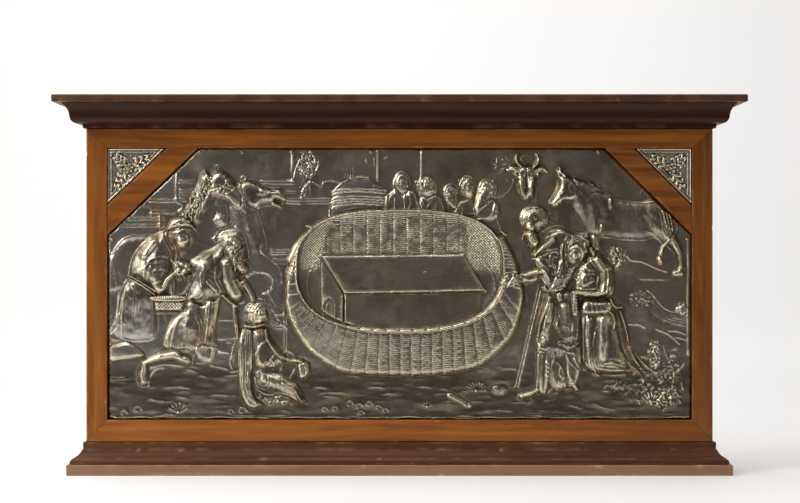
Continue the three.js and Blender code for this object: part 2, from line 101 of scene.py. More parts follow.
def blur(field, cells):
    """Three passes of a box blur, about a Gaussian of `cells` raster cells."""
    width = max(int(round(cells)), 1)
    for axis in (0, 1) * 3:
        padded = np.pad(field, [(width + 1, width) if k == axis else (0, 0) for k in (0, 1)], mode="edge")
        total = np.cumsum(padded, axis=axis)
        size = field.shape[axis]
        first = np.take(total, range(0, size), axis=axis)
        last = np.take(total, range(2 * width + 1, 2 * width + 1 + size), axis=axis)
        field = (last - first) / (2 * width + 1)
    return field


def catmull(points, closed=False, steps=6):
    """A smooth curve through the points."""
    p = np.asarray(points, float)
    if len(p) < 3:
        return p
    if closed:
        p = np.vstack([p[-1], p, p[0], p[1]])
    else:
        p = np.vstack([2 * p[0] - p[1], p, 2 * p[-1] - p[-2]])
    t = np.linspace(0, 1, steps, endpoint=False)[:, None]
    out = []
    for a, b, c, d in zip(p[:-3], p[1:-2], p[2:-1], p[3:]):
        out.append(0.5 * (2 * b + (c - a) * t + (2 * a - 5 * b + 4 * c - d) * t ** 2
                          + (3 * b - a - 3 * c + d) * t ** 3))
    curve = np.vstack(out)
    return curve if closed else np.vstack([curve, p[-2]])


# ---------------------------------------------------------------- the relief as a height field

GROOVE = 0.3        # depth of the line sunk round a form that lies straight on the sheet, in mm
BLEND = 1.8         # how far two forms of one figure melt into each other, in mm
CREASE = 0.13       # height of the fine creases along limbs, in mm
SOFTNESS = 1.2      # above 1, domes run out softly at their foot
NOTHING = -9.0      # height where a figure has no form yet
COUNTRY_DEPTH = 1.45    # how much deeper the town, trees and hills are chased than first drawn
HIGHLIGHT_STRENGTH = 0.8         # strength of the painted highlights


def dome(q, crown):
    """Height of a rounded form at q, which is 0 on its crown and 1 on its outline."""
    return (1 - np.clip(q, 0, 1) ** crown) ** SOFTNESS


class Relief:
    """Heights over a flat sheet, in millimetres, on a square raster.

    Between begin() and end() forms melt into one figure, which end() lays on the sheet; the lines
    and textures asked for in between are chased into the figure once it lies there.
    """

    def __init__(self, left, right, bottom, top, pitch):
        self.pitch = pitch
        self.x = np.arange(left, right + pitch, pitch)
        self.z = np.arange(bottom, top + pitch, pitch)
        self.h = np.zeros((len(self.z), len(self.x)))
        # Wear on raised places together with painted highlights; both lighten the metal's colour.
        self.wear_and_highlight = np.zeros_like(self.h)
        # Painted shade, which darkens the metal's colour.
        self.painted_shade = np.zeros_like(self.h)
        self.sheet = None
        self.chasing = []

    def begin(self):
        self.sheet, self.h = self.h, np.full_like(self.h, NOTHING)
        self.chasing = []

    def end(self, groove=0.12, lip=0.2, scale=1.0, hammer=0.3):
        """Lays the figure on the sheet, with the small dents and creases of hammered metal.

        groove is the depth of the band sunk round it, lip the height of its raised outline,
        scale flattens it, and hammer is the height of the dents.
        """
        body, self.h, self.sheet = self.h * scale, self.sheet, None
        inside = body > 0
        rows, columns = np.any(inside, 1).nonzero()[0], np.any(inside, 0).nonzero()[0]
        spare = int(6 / self.pitch)
        cut = (slice(max(rows[0] - spare, 0), rows[-1] + spare),
               slice(max(columns[0] - spare, 0), columns[-1] + spare))
        inside, body, here = inside[cut], body[cut], self.h[cut]
        gx, gz = np.meshgrid(self.x[cut[1]], self.z[cut[0]])
        dents = 0.9 * value_noise(gx, gz, 5.5, 12, 0.7) + 0.5 * value_noise(gx, gz, 1.9, 13, 0.5)
        body = body + hammer * dents * np.clip(body / 2.5, 0, 1)
        border = blur(inside.astype(float), 0.4 / self.pitch)
        border = 4 * border * (1 - border)
        under = blur(here, 2.0 / self.pitch)
        laid = np.maximum(body, 0.9 * under + 0.35 * body) + lip * border
        band = blur(inside.astype(float), 0.7 / self.pitch)
        self.h[cut] = np.where(inside, laid, here - groove * 4 * band * (1 - band))
        # Painted shade: the higher the figure stands, the darker it is made.
        self.painted_shade[cut] = np.where(inside, np.clip((body - 1) / 4, 0, 1), self.painted_shade[cut])
        for chase, arguments, more in self.chasing:
            chase(*arguments, **more)

    def window(self, points, margin):
        """The part of the raster around the points, with its X and Z."""
        p = np.asarray(points, float)[:, :2]
        low = np.floor((p.min(0) - margin - [self.x[0], self.z[0]]) / self.pitch).astype(int)
        high = np.ceil((p.max(0) + margin - [self.x[0], self.z[0]]) / self.pitch).astype(int)
        i0, j0 = np.maximum(low, 0)
        i1, j1 = np.maximum(high, 1)
        cut = (slice(j0, j1), slice(i0, i1))
        gx, gz = np.meshgrid(self.x[i0:i1], self.z[j0:j1])
        return cut, gx, gz

    def everywhere(self):
        return np.meshgrid(self.x, self.z)

    def limb(self, *joints, crown=2.3, groove=None, folds=0, fold=0.4, turn=0.0):
        """A rounded form through joints (x, z, radius, height), with folds along it if asked."""
        j = np.asarray(joints if len(joints) > 1 else joints * 2, float)
        cut, gx, gz = self.window(j, j[:, 2].max() + 3)
        if not gx.size:
            return
        reach = np.full(gx.shape, 99.0)
        radius, height = np.ones(gx.shape), np.zeros(gx.shape)
        side, along = np.zeros(gx.shape), np.zeros(gx.shape)
        run = 0.0
        for a, b in zip(j[:-1], j[1:]):
            dx, dz = b[0] - a[0], b[1] - a[1]
            length = max(math.hypot(dx, dz), 1e-6)
            t = np.clip(((gx - a[0]) * dx + (gz - a[1]) * dz) / length ** 2, 0, 1)
            px, pz = gx - a[0] - t * dx, gz - a[1] - t * dz
            r = a[2] + (b[2] - a[2]) * t
            q = np.hypot(px, pz) / r
            near = q < reach
            reach = np.where(near, q, reach)
            radius = np.where(near, r, radius)
            height = np.where(near, a[3] + (b[3] - a[3]) * t, height)
            side = np.where(near, (px * dz - pz * dx) / length / r, side)
            along = np.where(near, run + t * length, along)
            run += length
        inside = np.clip(reach, 0, 1)
        body = height * dome(reach, crown)
        if folds:
            ripple = np.cos(np.pi * folds * side + turn * along + 0.6 * value_noise(along, side, 9, 11))
            body = body + fold * ripple * (1 - inside ** 2)
        seed = int(abs(j[0, 0]) * 7 + abs(j[0, 1]) * 3) % 97
        crease = value_noise(along, side * radius, 1.7, seed, 2.6)
        crease = crease + 0.5 * value_noise(along, side * radius, 0.9, seed + 1, 2)
        body = body + CREASE * crease * (1 - inside ** 4)
        self.settle(cut, body, (reach - 1) * radius, groove)

    def settle(self, cut, body, gap, groove):
        """Lays a form over what is there, or melts it into the figure being modelled."""
        if self.sheet is None:
            groove = GROOVE if groove is None else groove
            here = self.h[cut] - groove * np.exp(-(gap / 0.7) ** 2)
            self.h[cut] = np.where(gap < 0, np.maximum(here, body), here)
            return
        here = self.h[cut]
        if groove:
            here = here - groove * np.exp(-(gap / 0.7) ** 2)
        body = np.where(gap < 0, body, -1.2 * gap)
        near = np.clip(1 - np.abs(here - body) / BLEND, 0, 1)
        self.h[cut] = np.maximum(here, body) + near ** 2 * BLEND / 4

    def oval(self, x, z, rx, rz, height, tilt=0.0, crown=2.2, groove=None):
        """A tilted oval dome."""
        cut, gx, gz = self.window([(x, z)], max(rx, rz) + 3)
        c, s = math.cos(math.radians(tilt)), math.sin(math.radians(tilt))
        u, v = (gx - x) * c + (gz - z) * s, (gz - z) * c - (gx - x) * s
        q = np.hypot(u / rx, v / rz)
        self.settle(cut, height * dome(q, crown), (q - 1) * min(rx, rz), groove)

    def form(self, outline, height, edge, groove=None, slope=(0, 0), smooth=True, crown=2.7):
        """A raised area with rounded edges; slope tips its top, in height per millimetre."""
        p = catmull(outline, True, 5) if smooth else np.asarray(outline, float)
        cut, gx, gz = self.window(p, 3)
        distance = np.full(gx.shape, 99.0)
        inside = np.zeros(gx.shape, bool)
        for a, b in zip(p, np.roll(p, -1, 0)):
            dx, dz = b - a
            t = np.clip(((gx - a[0]) * dx + (gz - a[1]) * dz) / max(dx * dx + dz * dz, 1e-9), 0, 1)
            distance = np.minimum(distance, np.hypot(gx - a[0] - t * dx, gz - a[1] - t * dz))
            if dz:
                crosses = ((a[1] > gz) != (b[1] > gz)) & (gx < dx * (gz - a[1]) / dz + a[0])
                inside ^= crosses
        middle = p.mean(0)
        top = height + (gx - middle[0]) * slope[0] + (gz - middle[1]) * slope[1]
        q = np.clip(1 - distance / edge, 0, 1)
        self.settle(cut, top * dome(q, crown), np.where(inside, -distance, distance), groove)

    def line(self, points, width=0.7, height=0.5, smooth=True, closed=False, taper=False):
        """A raised line, or a sunk one where height is below 0."""
        if self.sheet is not None:
            more = dict(width=width, height=height, smooth=smooth, closed=closed, taper=taper)
            self.chasing.append((self.line, (points,), more))
            return
        p = catmull(points, closed) if smooth else np.asarray(points, float)
        if closed:
            p = np.vstack([p, p[0]])
        cut, gx, gz = self.window(p, 3 * width)
        if not gx.size:
            return
        lengths = np.hypot(*np.diff(p, axis=0).T)
        total = max(lengths.sum(), 1e-6)
        best = np.full(gx.shape, 99.0)
        along = np.zeros(gx.shape)
        run = 0.0
        for a, b, length in zip(p[:-1], p[1:], lengths):
            dx, dz = b - a
            t = np.clip(((gx - a[0]) * dx + (gz - a[1]) * dz) / max(length ** 2, 1e-9), 0, 1)
            d = np.hypot(gx - a[0] - t * dx, gz - a[1] - t * dz)
            near = d < best
            best = np.where(near, d, best)
            along = np.where(near, (run + t * length) / total, along)
            run += length
        strength = 0.7 * height * np.exp(-(best / (0.85 * width)) ** 2)
        if taper:
            strength = strength * np.sin(np.pi * np.clip(along, 0.03, 0.97))
        self.h[cut] += strength

    def lines(self, many, width=0.7, height=0.5, **more):
        for points in many:
            self.line(points, width, height, **more)

    def courses(self, left, right, heights, width=0.5, height=0.5):
        """Level lines, as on masonry."""
        for z in heights:
            self.line([(left, z), (right, z)], width, height, smooth=False)

    def highlight_spot(self, x, z, rx, rz, tilt=0.0, amount=0.5):
        """A painted highlight: a spot where the metal's colour is lightened."""
        if self.sheet is not None:
            self.chasing.append((self.highlight_spot, (x, z, rx, rz, tilt, amount), {}))
            return
        cut, gx, gz = self.window([(x, z)], 2 * max(rx, rz))
        c, s = math.cos(math.radians(tilt)), math.sin(math.radians(tilt))
        u, v = (gx - x) * c + (gz - z) * s, (gz - z) * c - (gx - x) * s
        fleck = 0.75 + 0.5 * value_noise(gx, gz, 2.2, 15)
        self.wear_and_highlight[cut] += HIGHLIGHT_STRENGTH * amount * fleck * np.exp(-(u / rx) ** 2 - (v / rz) ** 2)

    def texture(self, pattern, middle, size, tilt=0.0, fade=0.25):
        """Adds pattern(u, v) in an oval; u and v are millimetres along its own axes."""
        if self.sheet is not None:
            self.chasing.append((self.texture, (pattern, middle, size, tilt, fade), {}))
            return
        cut, gx, gz = self.window([middle], max(size) * 1.1)
        c, s = math.cos(math.radians(tilt)), math.sin(math.radians(tilt))
        u = (gx - middle[0]) * c + (gz - middle[1]) * s
        v = (gz - middle[1]) * c - (gx - middle[0]) * s
        q = np.hypot(u / size[0], v / size[1])
        self.h[cut] += pattern(u, v) * np.clip((1 - q) / fade, 0, 1)

    def hatch(self, middle, size, pitch, depth, angle, tilt=0.0, fade=0.25):
        """Parallel strokes at an angle across an oval."""
        c, s = math.cos(math.radians(angle)), math.sin(math.radians(angle))
        self.texture(lambda u, v: depth * np.cos(2 * np.pi * (v * c - u * s) / pitch), middle, size,
                     tilt, fade)

    def stipple(self, middle, size, pitch, depth, seed, tilt=0.0):
        """Small punched dots."""
        def dots(u, v):
            return depth * (value_noise(u, v, pitch, seed) - 0.4 * value_noise(u, v, pitch * 2, seed + 1))
        self.texture(dots, middle, size, tilt)

    def curls(self, middle, size, curl, height, seed, tilt=0.0):
        """Locks of hair as small rings, packed in a spiral over an oval."""
        rng = np.random.default_rng(seed)
        count = max(int(size[0] * size[1] / (curl * curl) * 1.15), 3)
        c, s = math.cos(math.radians(tilt)), math.sin(math.radians(tilt))
        for k in range(count):
            reach = math.sqrt((k + 0.5) / count)
            angle = k * 2.39996 + rng.uniform(-0.2, 0.2)
            u, v = size[0] * reach * math.cos(angle), size[1] * reach * math.sin(angle)
            x, z = middle[0] + u * c - v * s, middle[1] + u * s + v * c
            r = curl * rng.uniform(0.42, 0.62)
            start = rng.uniform(0, 2 * np.pi)
            arc = [(x + r * math.cos(start + a), z + r * math.sin(start + a))
                   for a in np.arange(0, 5.2, 0.8)]
            self.line(arc, 0.42, height, smooth=False)
            self.line([(x, z), (x + 0.1, z)], 0.5, -height, smooth=False)

    def strands(self, path, spread, count, height, seed, wave=0.6):
        """Flowing strokes side by side along a path, as in a beard, a mane or a pleat."""
        rng = np.random.default_rng(seed)
        p = catmull(path, False, 5)
        step = np.gradient(p, axis=0)
        normal = np.stack([-step[:, 1], step[:, 0]], 1) / np.hypot(*step.T)[:, None]
        share = np.linspace(0, 1, len(p))
        for k in range(count):
            offset = (k / max(count - 1, 1) - 0.5) * 2
            width = np.interp(share, np.linspace(0, 1, len(spread)), spread)
            wobble = wave * np.sin(share * rng.uniform(5, 9) + rng.uniform(0, 6))
            cut = slice(0, max(int(len(p) * rng.uniform(0.75, 1.0)), 3))
            self.line((p + normal * (offset * width + wobble)[:, None])[cut], 0.42, height, smooth=False)


# ---------------------------------------------------------------- figures on the sheet

def face(r, x, z, size, turn=1, tilt=0.0):
    """A calm, general face in three-quarter view; turn is 1 for one that looks to the right."""
    c, s = math.cos(math.radians(tilt)), math.sin(math.radians(tilt))

    def at(u, v):
        u = u * turn
        return x + size * (u * c - v * s), z + size * (u * s + v * c)

    r.line([at(0.05, 0.30), at(0.30, 0.36), at(0.55, 0.27)], 0.09 * size, 0.5)
    r.line([at(0.12, 0.16), at(0.45, 0.15)], 0.10 * size, -0.6)
    r.line([at(0.20, 0.15), at(0.28, 0.16)], 0.07 * size, 0.45)
    r.line([at(0.42, 0.28), at(0.58, 0.02), at(0.60, -0.14)], 0.10 * size, 0.9)
    r.line([at(0.34, -0.30), at(0.52, -0.31)], 0.06 * size, -0.5)
    r.line([at(0.36, -0.38), at(0.50, -0.39)], 0.06 * size, 0.35)
    r.line([at(0.18, -0.02), at(0.22, -0.10)], 0.18 * size, 0.4)
    r.line([at(0.38, -0.60), at(0.44, -0.62)], 0.14 * size, 0.5)


def background(r):
    """The town, the tree and the hills behind."""
    r.line([(-195, 268), (-195.4, 241), (-190.6, 236), (-190.2, 232.6), (-193.8, 230)], 0.75, 0.7)
    r.courses(-193, -179, (257, 254.6, 249, 246.6, 244, 241.4, 239))
    r.courses(-219, -196, (240.6, 238.2, 228.4))
    r.lines([[(-230, 233.4), (-217.4, 233.4), (-217.2, 226)], [(-216, 230.8), (-201, 230.6)]], 0.5, 0.4,
            smooth=False)
    r.courses(-239, -206, (224.8, 222.6))
    r.courses(-244, -204, (218.6, 216.6))
    r.line([(-210, 227), (-210, 214)], 0.5, 0.4, smooth=False)
    for k in range(6):
        r.line([(-209.5, 226 - 2.1 * k), (-204, 222.5 - 1.2 * k), (-200, 216 - 0.5 * k)], 0.45, 0.35)
    r.courses(-122, -92, (256.6, 253.8))
    r.courses(-104, -91, (248, 246))
    r.courses(-99, -60, (241.6, 239.4, 237))
    r.courses(-113, -96, (196.6, 194.6, 192.6))
    r.courses(-111, -97, (188.6, 186.6, 184.4))
    r.lines([[(-94, 284), (-94, 257)], [(-19, 284), (-19, 257)], [(19.2, 284), (19.2, 259)]], 0.8, 0.9,
            smooth=False)
    r.line([(-89, 274), (-92.4, 267), (-94, 259)], 1.1, -0.8)
    r.line([(-88, 274), (-91, 267), (-92.6, 259)], 0.6, 0.7)
    r.stipple((-81, 271), (11, 15), 1.0, 0.55, 31)
    r.stipple((-84, 250), (4, 10), 1.2, 0.3, 32)
    r.line([(-86, 241), (-84, 249.5), (-78.4, 256)], 0.7, 0.7)
    r.line([(-78.2, 256), (-78, 243)], 0.6, 0.45)
    r.form([(-60, 236), (-56, 251), (-42, 258), (-26, 258), (-14, 249), (-12, 232), (-40, 230),
            (-61, 224)], 1.0, 8, groove=0.2)
    r.line([(-76, 255.4), (-68, 252), (-66, 255.6), (-58, 256.4), (-50, 255), (-42, 259), (-36, 260.2),
            (-27, 260)], 0.65, 0.6)
    r.lines([[(-50, 255), (-55, 250.5), (-58, 247)], [(-23, 252.5), (-16, 251), (-12, 247.6)]], 0.6, 0.6)
    for z in (249.2, 246.8, 242.8, 240.2, 238.2, 235.6):
        r.line([(-59, z - 3), (-55, z - 0.8), (-36, z + 0.7), (-12, z - 0.8)], 0.65, 0.7)
        r.line([(-57, z - 3.4), (-50, z - 1.2), (-36, z - 0.6), (-14, z - 2)], 0.5, -0.4)
    r.line([(-59.6, 238), (-61.4, 231), (-61, 223)], 0.65, 0.6)
    for k in range(4):
        r.line([(-47 + 2.2 * k, 259), (-48 + 2.6 * k, 266), (-50 + 3.2 * k, 268)], 0.5, 0.35)
    r.lines([[(-29, 275), (-28, 271)], [(-22, 276), (-21.6, 270)], [(-13, 276), (-10.6, 277.4)]], 0.8,
            0.5)
    r.stipple((91, 271), (12, 9), 1.3, 0.35, 33)
    r.stipple((88, 258), (9, 7), 1.6, 0.25, 34)
    r.line([(119.8, 252), (119.8, 237)], 0.8, 0.4)
    r.lines([[(213, 249), (211, 245)], [(215, 250), (215, 245)], [(217, 248), (217.6, 243)]], 0.6, 0.5)


def horse(r):
    """The horse at the left, seen over the stooping woman."""
    r.form([(-180, 240), (-170, 258), (-152, 250), (-150, 236), (-150, 218), (-158, 198), (-186, 206),
            (-192, 222)], 1.4, 5, slope=(0, 0.04))
    r.form([(-258, 180), (-252, 194), (-244, 204), (-234, 207.6), (-222, 208.8), (-212, 210.2),
            (-203, 213), (-196, 200), (-230, 168), (-258, 160)], 1.5, 5)
    r.line([(-256, 193.6), (-251, 193.8), (-249, 198), (-243, 205), (-235, 208.2), (-222, 209.2),
            (-211, 210.8), (-203, 215), (-199.4, 220)], 0.7, 0.8)
    r.lines([[(-253, 190), (-250, 183), (-248.6, 172), (-248, 164), (-252, 157.6)],
             [(-256, 172.2), (-250, 172.2)]], 0.7, 0.5)
    r.form([(-168, 257), (-165, 262.4), (-158, 266), (-150, 262.4), (-142.6, 253), (-136, 242.6),
            (-134.6, 236.6), (-139, 231.4), (-144.6, 232.4), (-150, 237.4), (-158, 241), (-166, 244)],
            5.4, 7)
    r.oval(-158, 249, 7, 7.6, 5.4, crown=2.6)
    r.line([(-164, 262), (-157.4, 265.6), (-150.6, 262.6), (-143.4, 253.6), (-136.4, 243), (-134.8, 237)],
           0.6, 0.9)
    r.limb((-170.6, 265, 1.2, 3.8), (-168, 260, 2.0, 5), (-164.6, 256, 2.0, 5.2), groove=0.4)
    r.line([(-169.8, 263), (-165.4, 256.6)], 0.6, -1.1)
    r.limb((-170, 259, 5, 4.2), (-176, 243, 5.4, 4.2), (-184, 228, 5.6, 3.6), (-190, 221, 4.6, 2.4),
           crown=1.7)
    r.limb((-164, 250, 6, 3.4), (-170, 236, 6, 3.2), (-178, 224, 6, 2.6), crown=1.7)
    rng = np.random.default_rng(40)
    for k in range(44):
        share, lean = k / 44, rng.uniform(-4, 8)
        x, z = -169 - 21 * share + lean, 259 - 38 * share + rng.uniform(-2, 2)
        length, turn = rng.uniform(2, 4.6), rng.uniform(-2.1, -1.2)
        r.limb((x, z, 1.3, 4.6 - 0.1 * lean),
               (x + length * math.cos(turn), z + length * math.sin(turn), 0.9, 4.1 - 0.1 * lean),
               groove=0.3)
    r.curls((-160, 261), (7, 3.6), 2.2, 0.6, 42)
    r.strands([(-158, 263), (-159, 268), (-156, 269)], [2, 2], 3, 0.5, 45, 0.2)
    r.lines([[(-153, 261), (-152, 254), (-160, 246)], [(-166, 251), (-158, 253), (-148, 249.6)],
             [(-152, 245), (-146, 248), (-143, 252)], [(-158, 242), (-154, 247), (-152, 250)]], 0.6, 0.7)
    r.lines([[(-166, 249), (-157, 251), (-147, 247)], [(-150, 257), (-147, 252), (-143, 247)]], 0.7, -0.7)
    r.curls((-153, 250), (9, 7), 2.1, 0.55, 43)
    r.line([(-149.6, 253.6), (-147.4, 252)], 0.9, 0.9)
    r.line([(-139.4, 239.6), (-138.4, 235.6)], 1.0, -1.5)
    r.lines([[(-145.6, 236), (-141.6, 233.4)], [(-147, 242), (-142, 236)]], 0.6, -0.7)
    r.lines([[(-152.6, 238), (-150.8, 229), (-151.4, 219)], [(-137, 242), (-137, 236), (-139, 233)]],
            0.6, 0.6)
    r.oval(-157, 223, 5.6, 6.4, 3.6, 10, crown=1.7)
    r.curls((-157, 223), (6.4, 6), 2.3, 0.6, 44)
    for k in range(4):
        r.line([(-161, 239.6 - 1.5 * k), (-155, 239 - 1.4 * k)], 0.45, 0.4)
    for spot in ((-178, 242, 4, 15, 25, 0.3), (-158, 262, 6, 2.4, 0, 0.35),
                 (-142, 245, 3, 8, 40, 0.3)):
        r.highlight_spot(*spot)


def camel(r):
    """The camel's head and neck behind the horse."""
    r.form([(-148, 246), (-138, 254), (-128, 250), (-124, 231), (-120.6, 218), (-116.8, 206), (-116, 192),
            (-110, 184), (-103.6, 176), (-104, 166), (-114, 168), (-126, 182), (-140, 204),
            (-148, 226)], 1.9, 14, slope=(0, 0.025))
    r.limb((-134, 236, 8, 3.4), (-130, 216, 7, 3.0), (-124, 198, 6, 2.2), crown=2.6)
    r.form([(-141, 252), (-136, 257.6), (-128, 257), (-118, 252.4), (-111, 250.4), (-106.4, 250.6),
            (-102, 246.4), (-100, 240.6), (-102, 239), (-108, 239.6), (-111, 236.4), (-120, 235.6),
            (-125, 232), (-136, 236)], 5.0, 7)
    r.limb((-111, 236.8, 2.2, 4), (-104.4, 234, 1.8, 3.4))
    r.line([(-137, 258), (-128, 257.6), (-118, 252.8), (-110, 250.4), (-106, 250.8), (-102, 246.6),
            (-99.8, 240.6)], 0.6, 0.8)
    r.line([(-109.6, 239.6), (-107.6, 237.6), (-104, 236.8)], 0.9, -1.6)
    r.line([(-103, 233), (-109, 235), (-119, 234.8), (-124.6, 230.6), (-122, 223), (-118.6, 212),
            (-116.4, 204), (-117, 197)], 0.65, 0.9)
    r.line([(-120.6, 201), (-121.6, 196), (-118.4, 192), (-112, 187), (-106.6, 182), (-103.4, 176),
            (-103, 168)], 0.65, 0.8)
    r.oval(-121, 248.4, 3.2, 2.4, 5.8, 20, groove=0.3)
    r.lines([[(-124, 250), (-120.6, 249.4), (-117.6, 247)], [(-125, 245), (-119, 244), (-114, 246)]],
            0.6, 0.8)
    r.lines([[(-123, 247.4), (-118.6, 246.6)], [(-113, 248), (-108, 247)]], 0.6, -0.8)
    r.oval(-105.6, 247, 2.6, 2.6, 5.6, 0, groove=0.3)
    r.lines([[(-106, 246), (-104, 243.6)], [(-103, 243), (-102, 240)]], 0.7, -1.1)
    r.line([(-138.6, 258), (-137.4, 261), (-134.6, 260), (-135, 256.6)], 0.6, 0.8)
    r.limb((-139.6, 253, 2.6, 4.4), (-138.6, 247, 2.4, 4.2), crown=1.8)
    r.curls((-138, 250), (4.4, 5), 2.2, 0.5, 46)
    r.lines([[(-136, 240), (-132, 233), (-126, 231)], [(-139, 234), (-134, 229)]], 0.9, 0.6)
    r.strands([(-142, 236), (-146, 222), (-150, 214)], [3, 4, 4], 4, 0.25, 47, 0.8)
    for spot in ((-122, 252, 12, 3, -12, 0.3), (-104, 243, 3, 4, 0, 0.3)):
        r.highlight_spot(*spot)


def cow(r):
    """The cow that faces the viewer over the rim."""
    r.line([(84, 241.6), (90, 243.4), (95, 247), (98.6, 252.4), (100.6, 259), (103, 262)], 0.7, 0.7)
    r.form([(101.6, 263), (105, 269.4), (111, 270.4), (118, 269.4), (121, 263), (118.6, 255),
            (116.6, 248),
            (114.8, 242), (111, 240), (107, 242), (105.2, 248), (103.4, 255)], 4.4, 5)
    r.limb((106, 260, 3.4, 6), (106.6, 251, 3.1, 6.6), (108, 244.6, 2.2, 5.4), crown=2.2, groove=0.2)
    r.limb((115.6, 259, 3.2, 6), (114.8, 250, 3.2, 6.4), (114.6, 245, 2.8, 5.4), crown=2.4, groove=0.2)
    r.line([(111, 266), (111.2, 256), (110.8, 242)], 0.9, -1.8)
    r.lines([[(109, 262), (109.6, 250)], [(113, 261), (112.8, 250)]], 0.6, 0.8)
    for k in range(3):
        arc = [(111 + (4.6 - 1.3 * k) * math.cos(a), 275 + (4.2 - 1.2 * k) * math.sin(a))
               for a in np.arange(-0.6, 4.6, 0.5)]
        r.line(arc, 0.6, 0.7)
    r.curls((111, 265.6), (7.6, 4.4), 2.0, 0.9, 52)
    r.limb((106, 269.6, 1.8, 4.6), (102.8, 272.6, 1.7, 4.4), (102, 276, 1.3, 3.4), (103.2, 280, 0.6, 2),
           groove=0.3)
    r.limb((117.6, 269.2, 1.8, 4.6), (121, 272.4, 1.7, 4.4), (121.6, 276, 1.3, 3.4), (120, 280, 0.6, 2),
           groove=0.3)
    r.limb((103, 265.6, 2.6, 4.4), (98.6, 268, 2.4, 3.6), (95, 266.4, 1.4, 2.4), groove=0.3)
    r.limb((119.6, 265, 2.6, 4.4), (125, 267.6, 2.6, 3.8), (129, 264.6, 1.4, 2.4), groove=0.3)
    r.lines([[(103, 266), (96, 267.6)], [(120, 265.6), (127.6, 265.6)]], 0.6, -0.9)
    r.oval(101.4, 263, 2.2, 2.4, 4.4, groove=0.3)
    r.oval(121, 262.4, 1.8, 2.2, 4.4, groove=0.3)
    r.lines([[(104, 257.6), (107.6, 256.2)], [(114.6, 257), (118, 258.4)]], 0.7, -1.1)
    r.lines([[(104, 259), (107.6, 258.4)], [(114.6, 259.4), (118, 260.2)]], 0.6, 0.8)
    r.lines([[(105, 244), (107.4, 242.8)], [(113.6, 242.8), (116, 244)]], 0.9, -1.0)
    for spot in ((106.4, 251, 2.4, 7, 0, 0.7), (114.8, 248, 2.2, 6, 0, 0.5)):
        r.highlight_spot(*spot)


